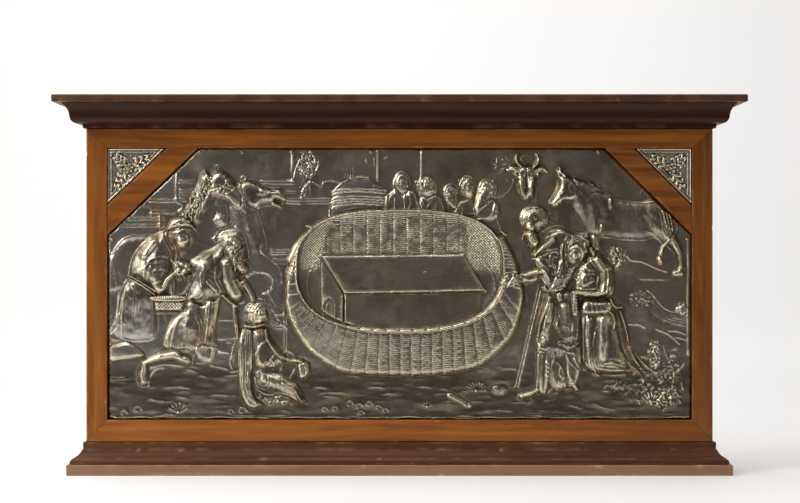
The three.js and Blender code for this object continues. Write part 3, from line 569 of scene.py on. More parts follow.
def ox(r):
    """The ox at the upper right, in profile."""
    r.form([(150, 259), (160, 258.4), (168, 255), (175, 249), (184, 246), (188, 241.6), (199, 239.2),
            (210, 238.4), (220, 239), (232, 238), (244, 226), (243, 214), (238, 205.4), (229, 202),
            (222, 208), (205, 205), (190, 206.6), (180, 207), (170, 204), (164, 213), (157, 226),
            (151, 238)], 3.0, 9, slope=(0, 0.075))
    r.limb((166, 246, 11, 5.4), (174, 230, 12, 6.2), (172, 214, 8, 5), crown=2.0)
    r.limb((222, 230, 12, 5.2), (228, 217, 11, 5.2), (236, 206, 4, 4), crown=2.0)
    r.lines([[(142, 261), (146, 261), (153, 260.6), (160, 259), (166, 256), (171, 251), (176, 248.6),
              (181, 247.6), (186, 243.4), (190, 240.6), (200, 238.8), (210, 237.8), (218, 238),
              (226, 239.4)],
             [(179, 207.6), (190, 206.2), (200, 205.2), (213, 205), (222, 207), (226, 206)],
             [(155, 228), (160, 219), (164, 211), (167.6, 203), (170, 196)],
             [(218, 212), (222, 210), (227, 205.6), (231, 201.6)]], 0.65, 0.75)
    r.form([(139, 262), (147, 261.6), (154, 257), (158.4, 249), (156, 241.6), (151, 238), (144, 238),
            (140, 234), (134, 232.6), (130.8, 236.4), (133, 242), (137.6, 249), (139, 255)], 5.6, 6)
    r.line([(139.6, 259), (138.6, 253), (136.6, 247), (133, 241.4), (131.2, 238)], 0.9, 1.1)
    r.limb((140.4, 268.4, 1.0, 2.6), (140.2, 264.6, 1.7, 4.2), (144.6, 260.6, 2.0, 5.2), groove=0.3)
    r.line([(141.6, 267), (142.6, 263.6), (146.6, 260.4)], 0.6, 0.9)
    r.limb((138.6, 266, 1.2, 3.2), (139.6, 261, 1.6, 4.4), groove=0.3)
    r.oval(142, 246.6, 3.6, 2.4, 6.6, 35, groove=0.3)
    r.lines([[(138.6, 246.4), (141.6, 249.4), (145, 249)], [(150, 255), (148, 250), (150, 246)]], 0.7,
            0.7)
    r.lines([[(140, 245.6), (143.6, 246.8)], [(133, 235.4), (134.8, 237)]], 0.7, -1.2)
    r.lines([[(157, 248), (154.8, 242.6), (151, 238.6), (146, 237.6)], [(139.6, 243), (140.6, 238.4)]],
            0.7, 0.8)
    r.oval(137.8, 235.8, 1.7, 1.7, 6.2, groove=0.4)
    r.line([(133.4, 234), (135, 232.6)], 0.9, -1.2)
    r.lines([[(168, 244), (173, 246), (179, 243)], [(162, 256), (158, 250), (160, 244)]], 0.8, 0.5)
    r.limb((184.6, 240.6, 2.2, 6.2), (184, 234, 1.7, 6), crown=1.7)
    r.limb((176.8, 218, 2.2, 6.2), (175.6, 212, 1.5, 5.6), crown=1.7)
    r.limb((171, 207, 5, 3.8), (172, 198, 3.4, 2.8))
    r.lines([[(168, 206), (170, 198), (171, 194)], [(175, 208), (175, 200), (177, 195)]], 0.6, 0.6)
    r.curls((163, 254), (5, 6), 2.6, 0.3, 54)
    r.limb((233, 212, 7, 4.6), (241, 202, 3.6, 3.6), (245.4, 193, 2.4, 3.2), (246.6, 182, 2.2, 3.2),
           (244.6, 176, 3, 3.2))
    r.lines([[(239, 206), (243.6, 200), (247, 192), (248.4, 185), (249, 178)],
             [(233, 200.6), (238.4, 196), (242, 190), (243, 183.6), (241.6, 179), (239, 174.4)],
             [(236, 203), (241, 197), (244.6, 190), (245.4, 180)]], 0.6, 0.75)
    r.form([(240.6, 178), (247.6, 177.6), (248.4, 173.6), (239.6, 173.2)], 3.2, 1.8)
    r.lines([[(243.4, 221), (242.6, 214), (240, 208), (234, 203.4), (230.4, 200)]], 0.7, 0.9)
    r.limb((236, 205, 1.2, 4.6), (230.6, 199, 1.3, 3.4), (228.6, 192, 1.4, 3), groove=0.3)
    r.oval(228, 187, 2.8, 4, 3.4, 10)
    r.strands([(230.6, 194), (227.6, 183)], [1.2, 2.6], 5, 0.5, 53, 0.2)
    r.strands([(231, 232), (234, 218), (238, 205)], [4, 5, 3], 8, 0.6, 55, 0.8)
    for k in range(3):
        r.limb((230 + 3.2 * k, 230 - 1.5 * k, 1.5, 6), (234 + 2.4 * k, 216 - 1.5 * k, 1.0, 5.2),
               crown=1.7, groove=0.15)
    for spot in ((184, 236, 2, 5, 0, 0.5), (233, 217, 4, 14, 10, 0.35),
                 (136, 243, 3, 8, -30, 0.25), (176, 216, 2, 4, 0, 0.4)):
        r.highlight_spot(*spot)


def right_country(r):
    """Ground, bushes and hills at the right."""
    r.line([(200, 190), (203, 187), (211, 186), (218, 183.4), (226, 179.6), (234, 177)], 0.7, 0.6)
    r.line([(211, 171), (222, 170.6), (236, 170)], 0.9, 0.35)
    r.line([(217, 161), (222, 156.6), (228, 149), (234, 144), (243, 141), (252, 138)], 0.7, 0.5)
    for k in range(4):
        r.line([(224 - k, 149 - 2.2 * k), (232, 141.6 - 2.2 * k), (252, 136.6 - 2.4 * k)], 0.8, 0.35)
    r.oval(247, 144, 6, 5.6, 1.2)
    r.stipple((247, 144), (7, 6.4), 1.2, 0.6, 61)
    r.line([(200, 131), (209, 131), (215, 128)], 0.7, 0.5)
    r.line([(225, 126.6), (234, 123.2), (240, 118.6), (245, 114)], 0.7, 0.6)
    r.lines([[(235, 125.4), (243, 125), (251, 122)], [(240, 120), (246, 119), (252, 117)]], 0.7, 0.5)
    r.stipple((223, 105), (6.4, 15), 1.3, 0.75, 62)
    r.line([(231, 113), (233, 106), (236, 99), (240, 92), (240, 84), (238.6, 75)], 0.7, 0.5)
    r.lines([[(244, 90), (249, 97)], [(240, 88), (245, 92)], [(247, 80), (248, 74)]], 0.7, 0.6)
    r.stipple((228, 66), (15, 8), 1.5, 0.7, 63)
    for k in range(7):
        a = math.radians(40 + 17 * k)
        r.line([(221, 60), (221 + 11 * math.cos(a), 60 + 12 * math.sin(a))], 0.7, 0.6, smooth=False)
    for k in range(9):
        a = math.radians(50 + 10 * k)
        x = 192 + 3.4 * math.cos(3 * k)
        r.line([(189, 180), (x - 1, 187 + 2 * math.sin(2 * k)),
                (190 + 13 * math.cos(a), 184 + 15 * math.sin(a))], 0.5, 0.55)
    r.stipple((190, 190), (12, 11), 1.6, 0.45, 68)
    r.stipple((212, 153), (14, 9), 1.8, 0.4, 64)
    r.stipple((226, 78), (20, 14), 2.0, 0.35, 65)
    r.stipple((196, 76), (14, 8), 1.8, 0.3, 66)
    rng = np.random.default_rng(67)
    for _ in range(60):
        x, z = rng.uniform(200, 250), rng.uniform(56, 112)
        turn = rng.uniform(0, math.pi)
        r.line([(x, z), (x + 2 * math.cos(turn), z + 2 * math.sin(turn) + 0.5),
                (x + 4 * math.cos(turn + 0.5), z + 4 * math.sin(turn + 0.5))], 0.5, rng.uniform(0.2, 0.6))


def ground(r):
    """Streaked ground in front, with plants, pebbles and a log."""
    gx, gz = r.everywhere()
    shade = 1 / (1 + np.exp((gz - 92 + 4 * value_noise(gx, gz, 40, 70)) / 3))
    r.h += 0.12 * shade * (value_noise(gx, gz, 2.6, 71, 5) + 0.8 * value_noise(gx, gz, 6, 72, 3))
    # Painted shade: the ground band at the bottom is darkened.
    r.painted_shade = np.maximum(r.painted_shade, 1.35 * shade)
    rng = np.random.default_rng(74)
    for _ in range(90):
        x, z = rng.uniform(-250, 250), 50 + 46 * rng.random() ** 1.2
        half, rise = rng.uniform(3, 12), rng.uniform(-1.4, 1.4)
        r.line([(x - half, z - rise), (x, z + rng.uniform(-0.8, 0.8)), (x + half, z + rise)], 0.6,
               rng.uniform(0.15, 0.45), taper=True)
    r.form([(-256, 112), (-248, 114.6), (-239, 115.6), (-230, 111), (-223, 103), (-240, 99), (-256, 99)],
           3.6, 6)
    r.line([(-254, 110), (-246, 113.6), (-239, 115), (-231, 110.6), (-224, 104)], 0.7, 0.7)
    r.line([(-253, 118.6), (-246, 117.4), (-240, 121)], 0.6, 0.5)
    r.line([(-256, 98.6), (-240, 101), (-226, 101.4)], 0.6, 0.4)
    streak_ends = [(-204, 76, -180, 74), (-200, 68, -184, 65), (-222, 65, -213, 64), (-168, 69, -148, 68),
                   (-190, 92, -176, 88), (-178, 86, -168, 84), (-150, 107, -160, 106), (-52, 88, -30, 83),
                   (-76, 76, -60, 74), (-70, 68, -50, 66), (-30, 76, -10, 74), (12, 76, 30, 75),
                   (34, 74, 44, 73), (52, 72, 62, 71), (40, 92, 26, 90), (88, 92, 106, 91)]
    for x0, z0, x1, z1 in streak_ends:
        r.line([(x0, z0), ((x0 + x1) / 2, (z0 + z1) / 2 + 0.8), (x1, z1)], 0.8, 0.6, taper=True)
    fan_plant(r, (67, 72), 9, 9, 160)
    fan_plant(r, (-194, 53), 9, 6, 120)
    fan_plant(r, (24, 58), 5, 5, 120)
    r.limb((44, 68.6, 2.6, 1.2), (52, 64.6, 2.8, 1.4), (60, 59.6, 2.6, 1.2))
    r.line([(46, 70), (60, 62)], 0.6, 0.6)
    r.line([(43, 66), (57, 58)], 0.6, 0.5)
    r.oval(61, 60, 2.2, 2.8, 1.6, 30)
    r.oval(88, 73.4, 7.6, 5.2, 1.6, 10)
    r.curls((88, 74), (6.4, 4), 2.8, 0.7, 73)
    for x, z, size in ((-66, 56, 3), (-57, 56.6, 2.8), (-44, 61, 3.6), (-36, 59, 3.4), (-27, 60.6, 3.6),
                       (-19, 58, 2.6), (-13, 55, 3), (-34, 53, 3.2), (-138, 55, 4.4), (-148, 54, 3),
                       (-230, 56, 4), (-242, 53, 3.4), (182, 74, 5), (190, 76, 3.6)):
        curl_plant(r, x, z, size)
    for k in range(14):
        a = 2.4 * k
        curl_plant(r, -118 + 2.4 * k, 64 + 2.6 * math.sin(a), 2.6)
    r.line([(-256, 50.6), (-120, 51), (0, 50.4), (120, 51), (256, 50.6)], 0.7, 0.35)
    r.lines([[(170, 62), (178, 58), (188, 56)], [(150, 60), (160, 57)], [(86, 56), (98, 55)]], 0.7, 0.5)


def fan_plant(r, foot, size, leaves, spread):
    for k in range(leaves):
        a = math.radians(90 + spread * (k / (leaves - 1) - 0.5))
        tip = (foot[0] + size * math.cos(a), foot[1] + size * math.sin(a))
        r.line([foot, ((foot[0] + tip[0]) / 2 + 0.6, (foot[1] + tip[1]) / 2), tip], 0.6, 0.65)


def curl_plant(r, x, z, size):
    turn = [(x + size * (1 - a / 7) * math.cos(a), z + size * (1 - a / 7) * math.sin(a))
            for a in np.arange(0, 5.6, 0.7)]
    r.line(turn, 0.6, 0.6)


# The ark -------------------------------------------------------------------------------------

MOUTH = dict(x=0.6, z=178.0, rx=90.3, rz=53.0, upper=2.9, lower=2.55)
HULL_OUTLINE = [(-68, 218), (-79, 213), (-88, 204), (-94.6, 192), (-99.4, 177), (-101.7, 160),
                (-100, 143), (-93, 125), (-79, 107), (-64, 95.6), (-49, 88.4), (-30, 86.4),
                (0, 85.4), (28, 86.2), (50, 88.8), (70, 94), (86, 106), (100, 122), (107.6, 143),
                (109.6, 159), (105.6, 176), (101, 190), (94.6, 203), (87, 213), (84, 208)]


def mouth_reach(gx, gz):
    """1 on the edge of the ark's mouth, less inside and more outside."""
    u, v = np.abs(gx - MOUTH["x"]) / MOUTH["rx"], np.abs(gz - MOUTH["z"]) / MOUTH["rz"]
    n = np.where(gz > MOUTH["z"], MOUTH["upper"], MOUTH["lower"])
    return (u ** n + v ** n) ** (1 / n)


def mouth_point(turn):
    c, s = math.cos(turn), math.sin(turn)
    power = 2 / (MOUTH["upper"] if s > 0 else MOUTH["lower"])
    return (MOUTH["x"] + MOUTH["rx"] * math.copysign(abs(c) ** power, c),
            MOUTH["z"] + MOUTH["rz"] * math.copysign(abs(s) ** power, s))


def rim_points(start, stop, count):
    """Points at even steps along the near rim, between two angles in degrees."""
    fine = np.array([mouth_point(math.radians(a)) for a in np.linspace(start, stop, 400)])
    run = np.concatenate([[0], np.cumsum(np.hypot(*np.diff(fine, axis=0).T))])
    want = np.linspace(0, run[-1], count)
    return np.stack([np.interp(want, run, fine[:, 0]), np.interp(want, run, fine[:, 1])], 1)


STAVES = 22
STAVE_START, STAVE_STOP = 203, 346
WALL_HEIGHT = 6.2


def hull(r):
    """The outside of the round woven boat: staves with rows of weaving across them."""
    r.form(HULL_OUTLINE, WALL_HEIGHT, 5, groove=0.4, crown=2.0, slope=(0, 0.045))
    feet = rim_points(STAVE_START, STAVE_STOP, STAVES)
    outer = []
    for x, z in feet:
        u = (x - 3) / 90
        lean = -1.45 * abs(u) ** 2.6 if u < 0 else 1.1 * u ** 5.5
        outer.append((x + 42 * lean / math.hypot(1, lean), z - 42 / math.hypot(1, lean)))
    for i in range(STAVES - 1):
        a, b = feet[i], feet[i + 1]
        c, d = np.array(outer[i]), np.array(outer[i + 1])
        box, px, pz = r.window([a, b, c, d], 1)

        def off(p, q):
            dx, dz = q - p
            return ((px - p[0]) * dz - (pz - p[1]) * dx) / math.hypot(dx, dz)
        left, right = off(a, c), -off(b, d)
        share = left / np.where(np.abs(left + right) < 1e-6, 1e-6, left + right)
        down = np.hypot(px - (a[0] + b[0]) / 2, pz - (a[1] + b[1]) / 2)
        inside = (left * np.sign((left + right)) > 0) & (right * np.sign((left + right)) > 0)
        inside &= (mouth_reach(px, pz) > 1.02) & (down < 44) & (r.h[box] > 0.6)
        crown = np.clip(share / 0.2, 0, 1) ** 0.7 * np.clip(1 - share, 0, 1) ** 0.45
        # Painted highlight on the left side of each stave.
        r.wear_and_highlight[box] = np.where(inside, 0.04 + 0.14 * crown * (1 - share), r.wear_and_highlight[box])
        rows = np.cos(2 * np.pi * (down / 1.6 + 0.5 * (i % 2) + 0.12 * np.cos(np.pi * share)))
        wobble = 1 + 0.5 * value_noise(px, pz, 3.0, 80 + i)
        r.h[box] += np.where(inside, 0.86 * crown ** 0.6 + 0.32 * rows * crown ** 0.5 * wobble - 0.6, 0)
    far_left = [(-97.5, 196), (-100, 187), (-101, 176), (-100, 165), (-98, 156)]
    for x, z in far_left:
        r.line([(x + 0.5, z), (x + 5, z + 1.6), (x + 11, z + 2)], 0.7, 0.6)
        r.line([(x + 0.5, z - 1.2), (x + 5, z + 0.4), (x + 11, z + 0.8)], 0.6, -0.5)
    band = catmull([(-68, 218), (-79, 213), (-88, 204), (-94.6, 192), (-99.4, 177)], False, 4)
    for x, z in band:
        r.line([(x + 0.8, z - 0.6), (x + 6.4, z - 2.2)], 0.7, 0.9, smooth=False)
    for k, z in enumerate((206, 203, 200, 197.6, 195, 192, 188.6, 186, 183.6, 181, 176, 170, 164)):
        x = 88 + 0.3 * k
        reach = min(4 + 1.4 * k, 13)
        r.line([(x, z + 0.8), (x + 0.5 * reach, z + 0.3), (x + reach, z - 0.6)], 0.8, 0.8)


def ark_inside(r):
    """The hollow of the boat: a woven far wall, cross-hatched ends and the floor."""
    cut, gx, gz = r.window([(-95, 120), (95, 235)], 2)
    reach = mouth_reach(gx, gz)
    bowl = np.clip((1 - reach) / 0.16, 0, 1)
    depth = 1.4 + 3.0 * (1 - bowl) ** 2
    inside = reach < 1
    wall = np.clip((gz - 191) / 3, 0, 1)
    rows = 0.24 * np.cos(2 * np.pi * gz / 1.7 + 1.5 * np.sin(gx / 3.2))
    rows = rows * (1 + 0.8 * value_noise(gx, gz, 4, 90))
    stave = 11.6
    ribs = 0.12 * np.cos(2 * np.pi * (gx + 2) / 12.6)
    ribs = ribs - 0.4 * np.exp(-(((gx / stave) % 1 - 0.5) * stave / 0.7) ** 2)
    hatch_left = np.clip((-66 - gx + 0.25 * (gz - 190)) / 5, 0, 1)
    hatch_right = np.clip((gx - 55) / 6, 0, 1)
    crossing = 0.3 * (np.cos(2 * np.pi * (gx + gz) / 2.5) + np.cos(2 * np.pi * (gx - 1.2 * gz) / 2.7))
    ends = np.clip(hatch_left + hatch_right, 0, 1) * np.clip((gz - 172) / 10, 0, 1)
    pattern = 1.27 * (wall * (1 - ends) * (rows + ribs) + ends * crossing)
    r.wear_and_highlight[cut] += np.where(inside, 0.085 * np.clip(wall + ends, 0, 1) + 0.03, 0)
    r.h[cut] = np.where(inside, depth + pattern * np.clip((1 - reach) / 0.05, 0, 1), r.h[cut])


def rim(r):
    """The rolled rim: bright and tied in front, a thin double line behind."""
    front = rim_points(196, 352, 80)
    cut, gx, gz = r.window(front, 6)
    best = np.full(gx.shape, 99.0)
    along = np.zeros(gx.shape)
    width = np.zeros(gx.shape)
    for k, (a, b) in enumerate(zip(front[:-1], front[1:])):
        dx, dz = b - a
        length = math.hypot(dx, dz)
        t = np.clip(((gx - a[0]) * dx + (gz - a[1]) * dz) / length ** 2, 0, 1)
        d = np.hypot(gx - a[0] - t * dx, gz - a[1] - t * dz)
        near = d < best
        best = np.where(near, d, best)
        along = np.where(near, (k + t) * length, along)
        share = (k + t) / len(front)
        width = np.where(near, 1.0 + 1.5 * np.clip((share - 0.22) / 0.12, 0, 1), width)
    q = best / width
    ties = 1 - 0.22 * np.exp(-(((along / 11.7) % 1 - 0.5) * 11.7 / 0.9) ** 2)
    body = (WALL_HEIGHT + 2.0) * ties * np.sqrt(np.clip(1 - q ** 2.4, 0, 1))
    r.settle(cut, body, (q - 1) * width, 0.5)
    # The front of the rim is lightened: rubbed bright, and a painted highlight.
    r.wear_and_highlight[cut] = np.where(q < 0.9, 0.7 * ties * np.clip((width - 1) / 0.8, 0, 1), 0)
    back = [mouth_point(math.radians(a)) for a in range(-12, 202, 4)]
    r.line(back, 1.1, 2.4, smooth=False)
    r.line([(x * 0.985, 178 + (z - 178) * 0.975) for x, z in back], 0.6, -0.8, smooth=False)
    left = [(-72, 217.6), (-84, 207.6), (-91, 198), (-95.4, 187)]
    r.limb(*[(x, z, 1.2 + 0.9 * k, 2.6 + 0.5 * k) for k, (x, z) in enumerate(left)], groove=0.2)
    r.lines([[(-70, 219), (-79, 213), (-86.6, 203), (-91, 192), (-93, 180)]], 0.7, 0.7)


def house(r):
    """The long house in the ark, with its roof, its gable and its pointed door."""
    wall_foot = [mouth_point(math.radians(a)) for a in range(236, 324, 6)]
    wall_foot = [(x, z + 1) for x, z in wall_foot]
    r.form([(-49, 158), (-48.6, 132.4)] + [(x, z) for x, z in wall_foot if -46 < x < 71]
           + [(71.5, 139), (71.5, 160)], 3.8, 1.6, groove=0.3, slope=(0, -0.07), smooth=False)
    r.form([(-69, 190), (-69, 143), (-60, 136.5), (-49.4, 132), (-49, 157)], 3.2, 1.4, groove=0.3,
           slope=(0.02, -0.04), smooth=False)
    r.form([(-68, 191), (56, 192), (75.6, 160.4), (19, 159), (-48.6, 158)], 4.0, 1.2, groove=0.3,
           slope=(0, -0.05), smooth=False)
    gx, gz = r.everywhere()
    roof = (gz < 190) & (gz > 160) & (gx > -60 + (190 - gz) * 0.6 - 6) & (gx < 56 + (190 - gz) * 0.6)
    uneven = 0.28 * value_noise(gx, gz, 7, 91, 2.2) + 0.14 * value_noise(gx, gz, 2.4, 92, 3)
    r.h += np.where(roof, uneven, 0)
    r.lines([[(-69, 191.4), (0, 191.2), (56.6, 192.2)], [(-68, 191), (-58, 173), (-48.4, 157.8)],
             [(56, 192), (66, 176), (75.6, 160.2)]], 0.8, 0.9, smooth=False)
    r.lines([[(-48.6, 158), (19, 158.9), (75.4, 160.4)]], 0.9, 0.9, smooth=False)
    r.line([(-48, 155.8), (19, 156.8), (73, 158)], 0.7, -0.5, smooth=False)
    r.lines([[(-69.4, 190), (-69.4, 143)], [(-50.4, 156), (-50.4, 133)], [(-47.2, 156), (-47.2, 132)],
             [(71.4, 159), (71.4, 141)]], 0.6, 0.7, smooth=False)
    r.lines([[(-66.4, 138), (-66.4, 149), (-61, 155.6), (-56.6, 149), (-57, 136)],
             [(-63.6, 139), (-63.4, 148), (-61, 150.6), (-58.8, 147.6), (-58.6, 138)]], 0.55, 0.7)
    r.line([(61, 189), (70, 187), (79, 179), (83, 170), (84, 160)], 0.65, 0.6)
    r.line([(-70, 190.6), (-77, 180), (-80.4, 172), (-80.6, 160), (-78, 154)], 0.65, 0.6)


def rim_people(r):
    """Five people behind the far rim of the ark."""
    r.form([(-12.6, 227), (-11.6, 240), (-8, 246), (-3, 249), (2, 244), (9, 248), (14.6, 245),
            (18, 227)], 3.4, 4)
    r.oval(2.2, 255.4, 7.4, 9.8, 4.8)
    r.oval(2.8, 252.4, 5.0, 7.6, 5.8, groove=0.6)
    face(r, 2.2, 253.4, 8.4, 1)
    r.lines([[(-3.6, 246), (-5, 253), (-3, 260), (2, 264.6), (7, 261.6), (9, 255), (8, 248)],
             [(-1.6, 249), (-2, 254), (0, 260), (3.4, 261.4), (6.6, 258), (6.8, 251)]], 0.6, 0.8)
    r.curls((3, 246.6), (3.4, 2.6), 1.8, 0.7, 108)
    r.lines([[(-12, 229), (-11.6, 238), (-9, 244.6), (-4, 249)], [(4.4, 245), (4.8, 231)],
             [(8, 247.6), (10, 236), (7, 231)], [(-4, 241), (-4, 231)],
             [(-3, 248), (2.6, 244.4), (9, 247.6)],
             [(9, 247.6), (13, 245), (15, 238), (18, 231)]], 0.6, 0.8)
    r.limb((-11, 243, 1.2, 4.4), (-12, 233, 1.3, 4.2), groove=0.1)
    r.form([(18, 227), (17, 239), (21, 243.6), (31, 244), (36.4, 240.6), (40, 227)], 3.4, 4)
    r.oval(24, 251, 9, 9.4, 5.2)
    r.oval(24.8, 248, 5.4, 6.6, 6.2, groove=0.6)
    r.curls((22, 256), (8, 4), 2.4, 0.9, 101)
    r.curls((17.8, 251), (3, 6), 2.4, 0.9, 102)
    r.curls((30.6, 252), (2.4, 5), 2.2, 0.7, 109)
    face(r, 24.2, 249, 8.4, 1)
    r.limb((18.4, 254, 1.6, 6.2), (19.4, 250, 1.4, 6), groove=0.2)
    r.lines([[(19, 241.6), (23, 232.6), (29.4, 241)], [(17, 240), (20.6, 231)], [(15.6, 238), (18, 231)],
             [(30.6, 243), (36, 240.4), (39, 230)], [(32, 236), (32, 231)],
             [(20, 243), (24, 239.6), (29, 242)]], 0.65, 0.8)
    r.limb((45, 247, 7, 4.8), (47, 239, 5.4, 4.6), (47.8, 234, 2.6, 3.6))
    r.oval(46.6, 245.4, 4.4, 7.4, 5.6, 10, groove=0.6)
    r.lines([[(39.4, 246), (40.4, 251), (45, 254), (49.6, 252), (51, 247)],
             [(41.6, 245), (42.4, 249.6), (45.4, 251.6), (48.4, 250)]], 0.6, 0.8)
    r.curls((41.6, 246), (2.4, 6), 2.2, 0.8, 103)
    face(r, 45.6, 246.6, 7.6, 1, 8)
    r.strands([(46.6, 240), (47.6, 234)], [3.4, 1.6], 5, 0.6, 104, 0.2)
    r.form([(49, 227), (50, 236), (57, 240), (63, 239), (67, 227)], 2.8, 3)
    r.oval(60, 252, 7.2, 9, 4.6)
    r.oval(61, 248, 4.2, 6.4, 5.6, groove=0.6)
    r.curls((58.6, 257), (6, 4), 2.3, 0.8, 105)
    r.curls((54.6, 251), (2, 5), 2.1, 0.7, 110)
    face(r, 60.4, 249, 7.6, 1)
    r.lines([[(55.2, 233), (55, 227)], [(62, 242), (65, 233), (65.6, 225)], [(57, 238), (60, 240)],
             [(52.6, 246), (53, 254), (57, 260), (62, 260.6), (66, 257)]], 0.7, 0.8)
    r.form([(65, 229), (69, 238), (78, 241), (85.6, 237), (87, 229), (82, 222), (71, 221)], 3.4, 4)
    r.limb((77, 249.6, 8.4, 5.4), (73, 240, 6.4, 5.2), (68, 232, 3.4, 4.4))
    r.oval(74.6, 245.6, 5.2, 7.4, 6.2, -18, groove=0.6)
    r.curls((80, 252), (4.4, 6), 2.4, 0.9, 106)
    r.lines([[(70, 252), (73, 257), (78, 258.4), (83, 254.6), (84.4, 248), (82, 243)],
             [(72.6, 251.6), (75.6, 255), (79, 255.4), (81.6, 251)]], 0.6, 0.8)
    face(r, 75, 247, 8, -1, -12)
    r.strands([(73.6, 240), (67.4, 230.4)], [4.4, 2.6], 7, 0.7, 107, 0.3)
    r.lines([[(81, 240), (84.6, 236), (85, 230)], [(66, 225), (69, 231), (75, 235), (79, 238)],
             [(66, 222.4), (76, 224), (82, 228)], [(84, 228), (87, 218), (90, 210)]], 0.7, 0.85)
    r.limb((83.6, 236, 1.4, 5.4), (82, 229.6, 1.3, 5), groove=0.1)
    for spot in ((18.6, 253, 2, 4, 0, 0.6), (27, 253, 2, 3, 0, 0.5), (-5, 252, 1.6, 7, 0, 0.4),
                 (80, 249, 2.6, 3, 0, 0.4), (83, 232, 2, 4, 0, 0.5), (-12, 238, 1.4, 5, 0, 0.5)):
        r.highlight_spot(*spot)


# Large figures -------------------------------------------------------------------------------

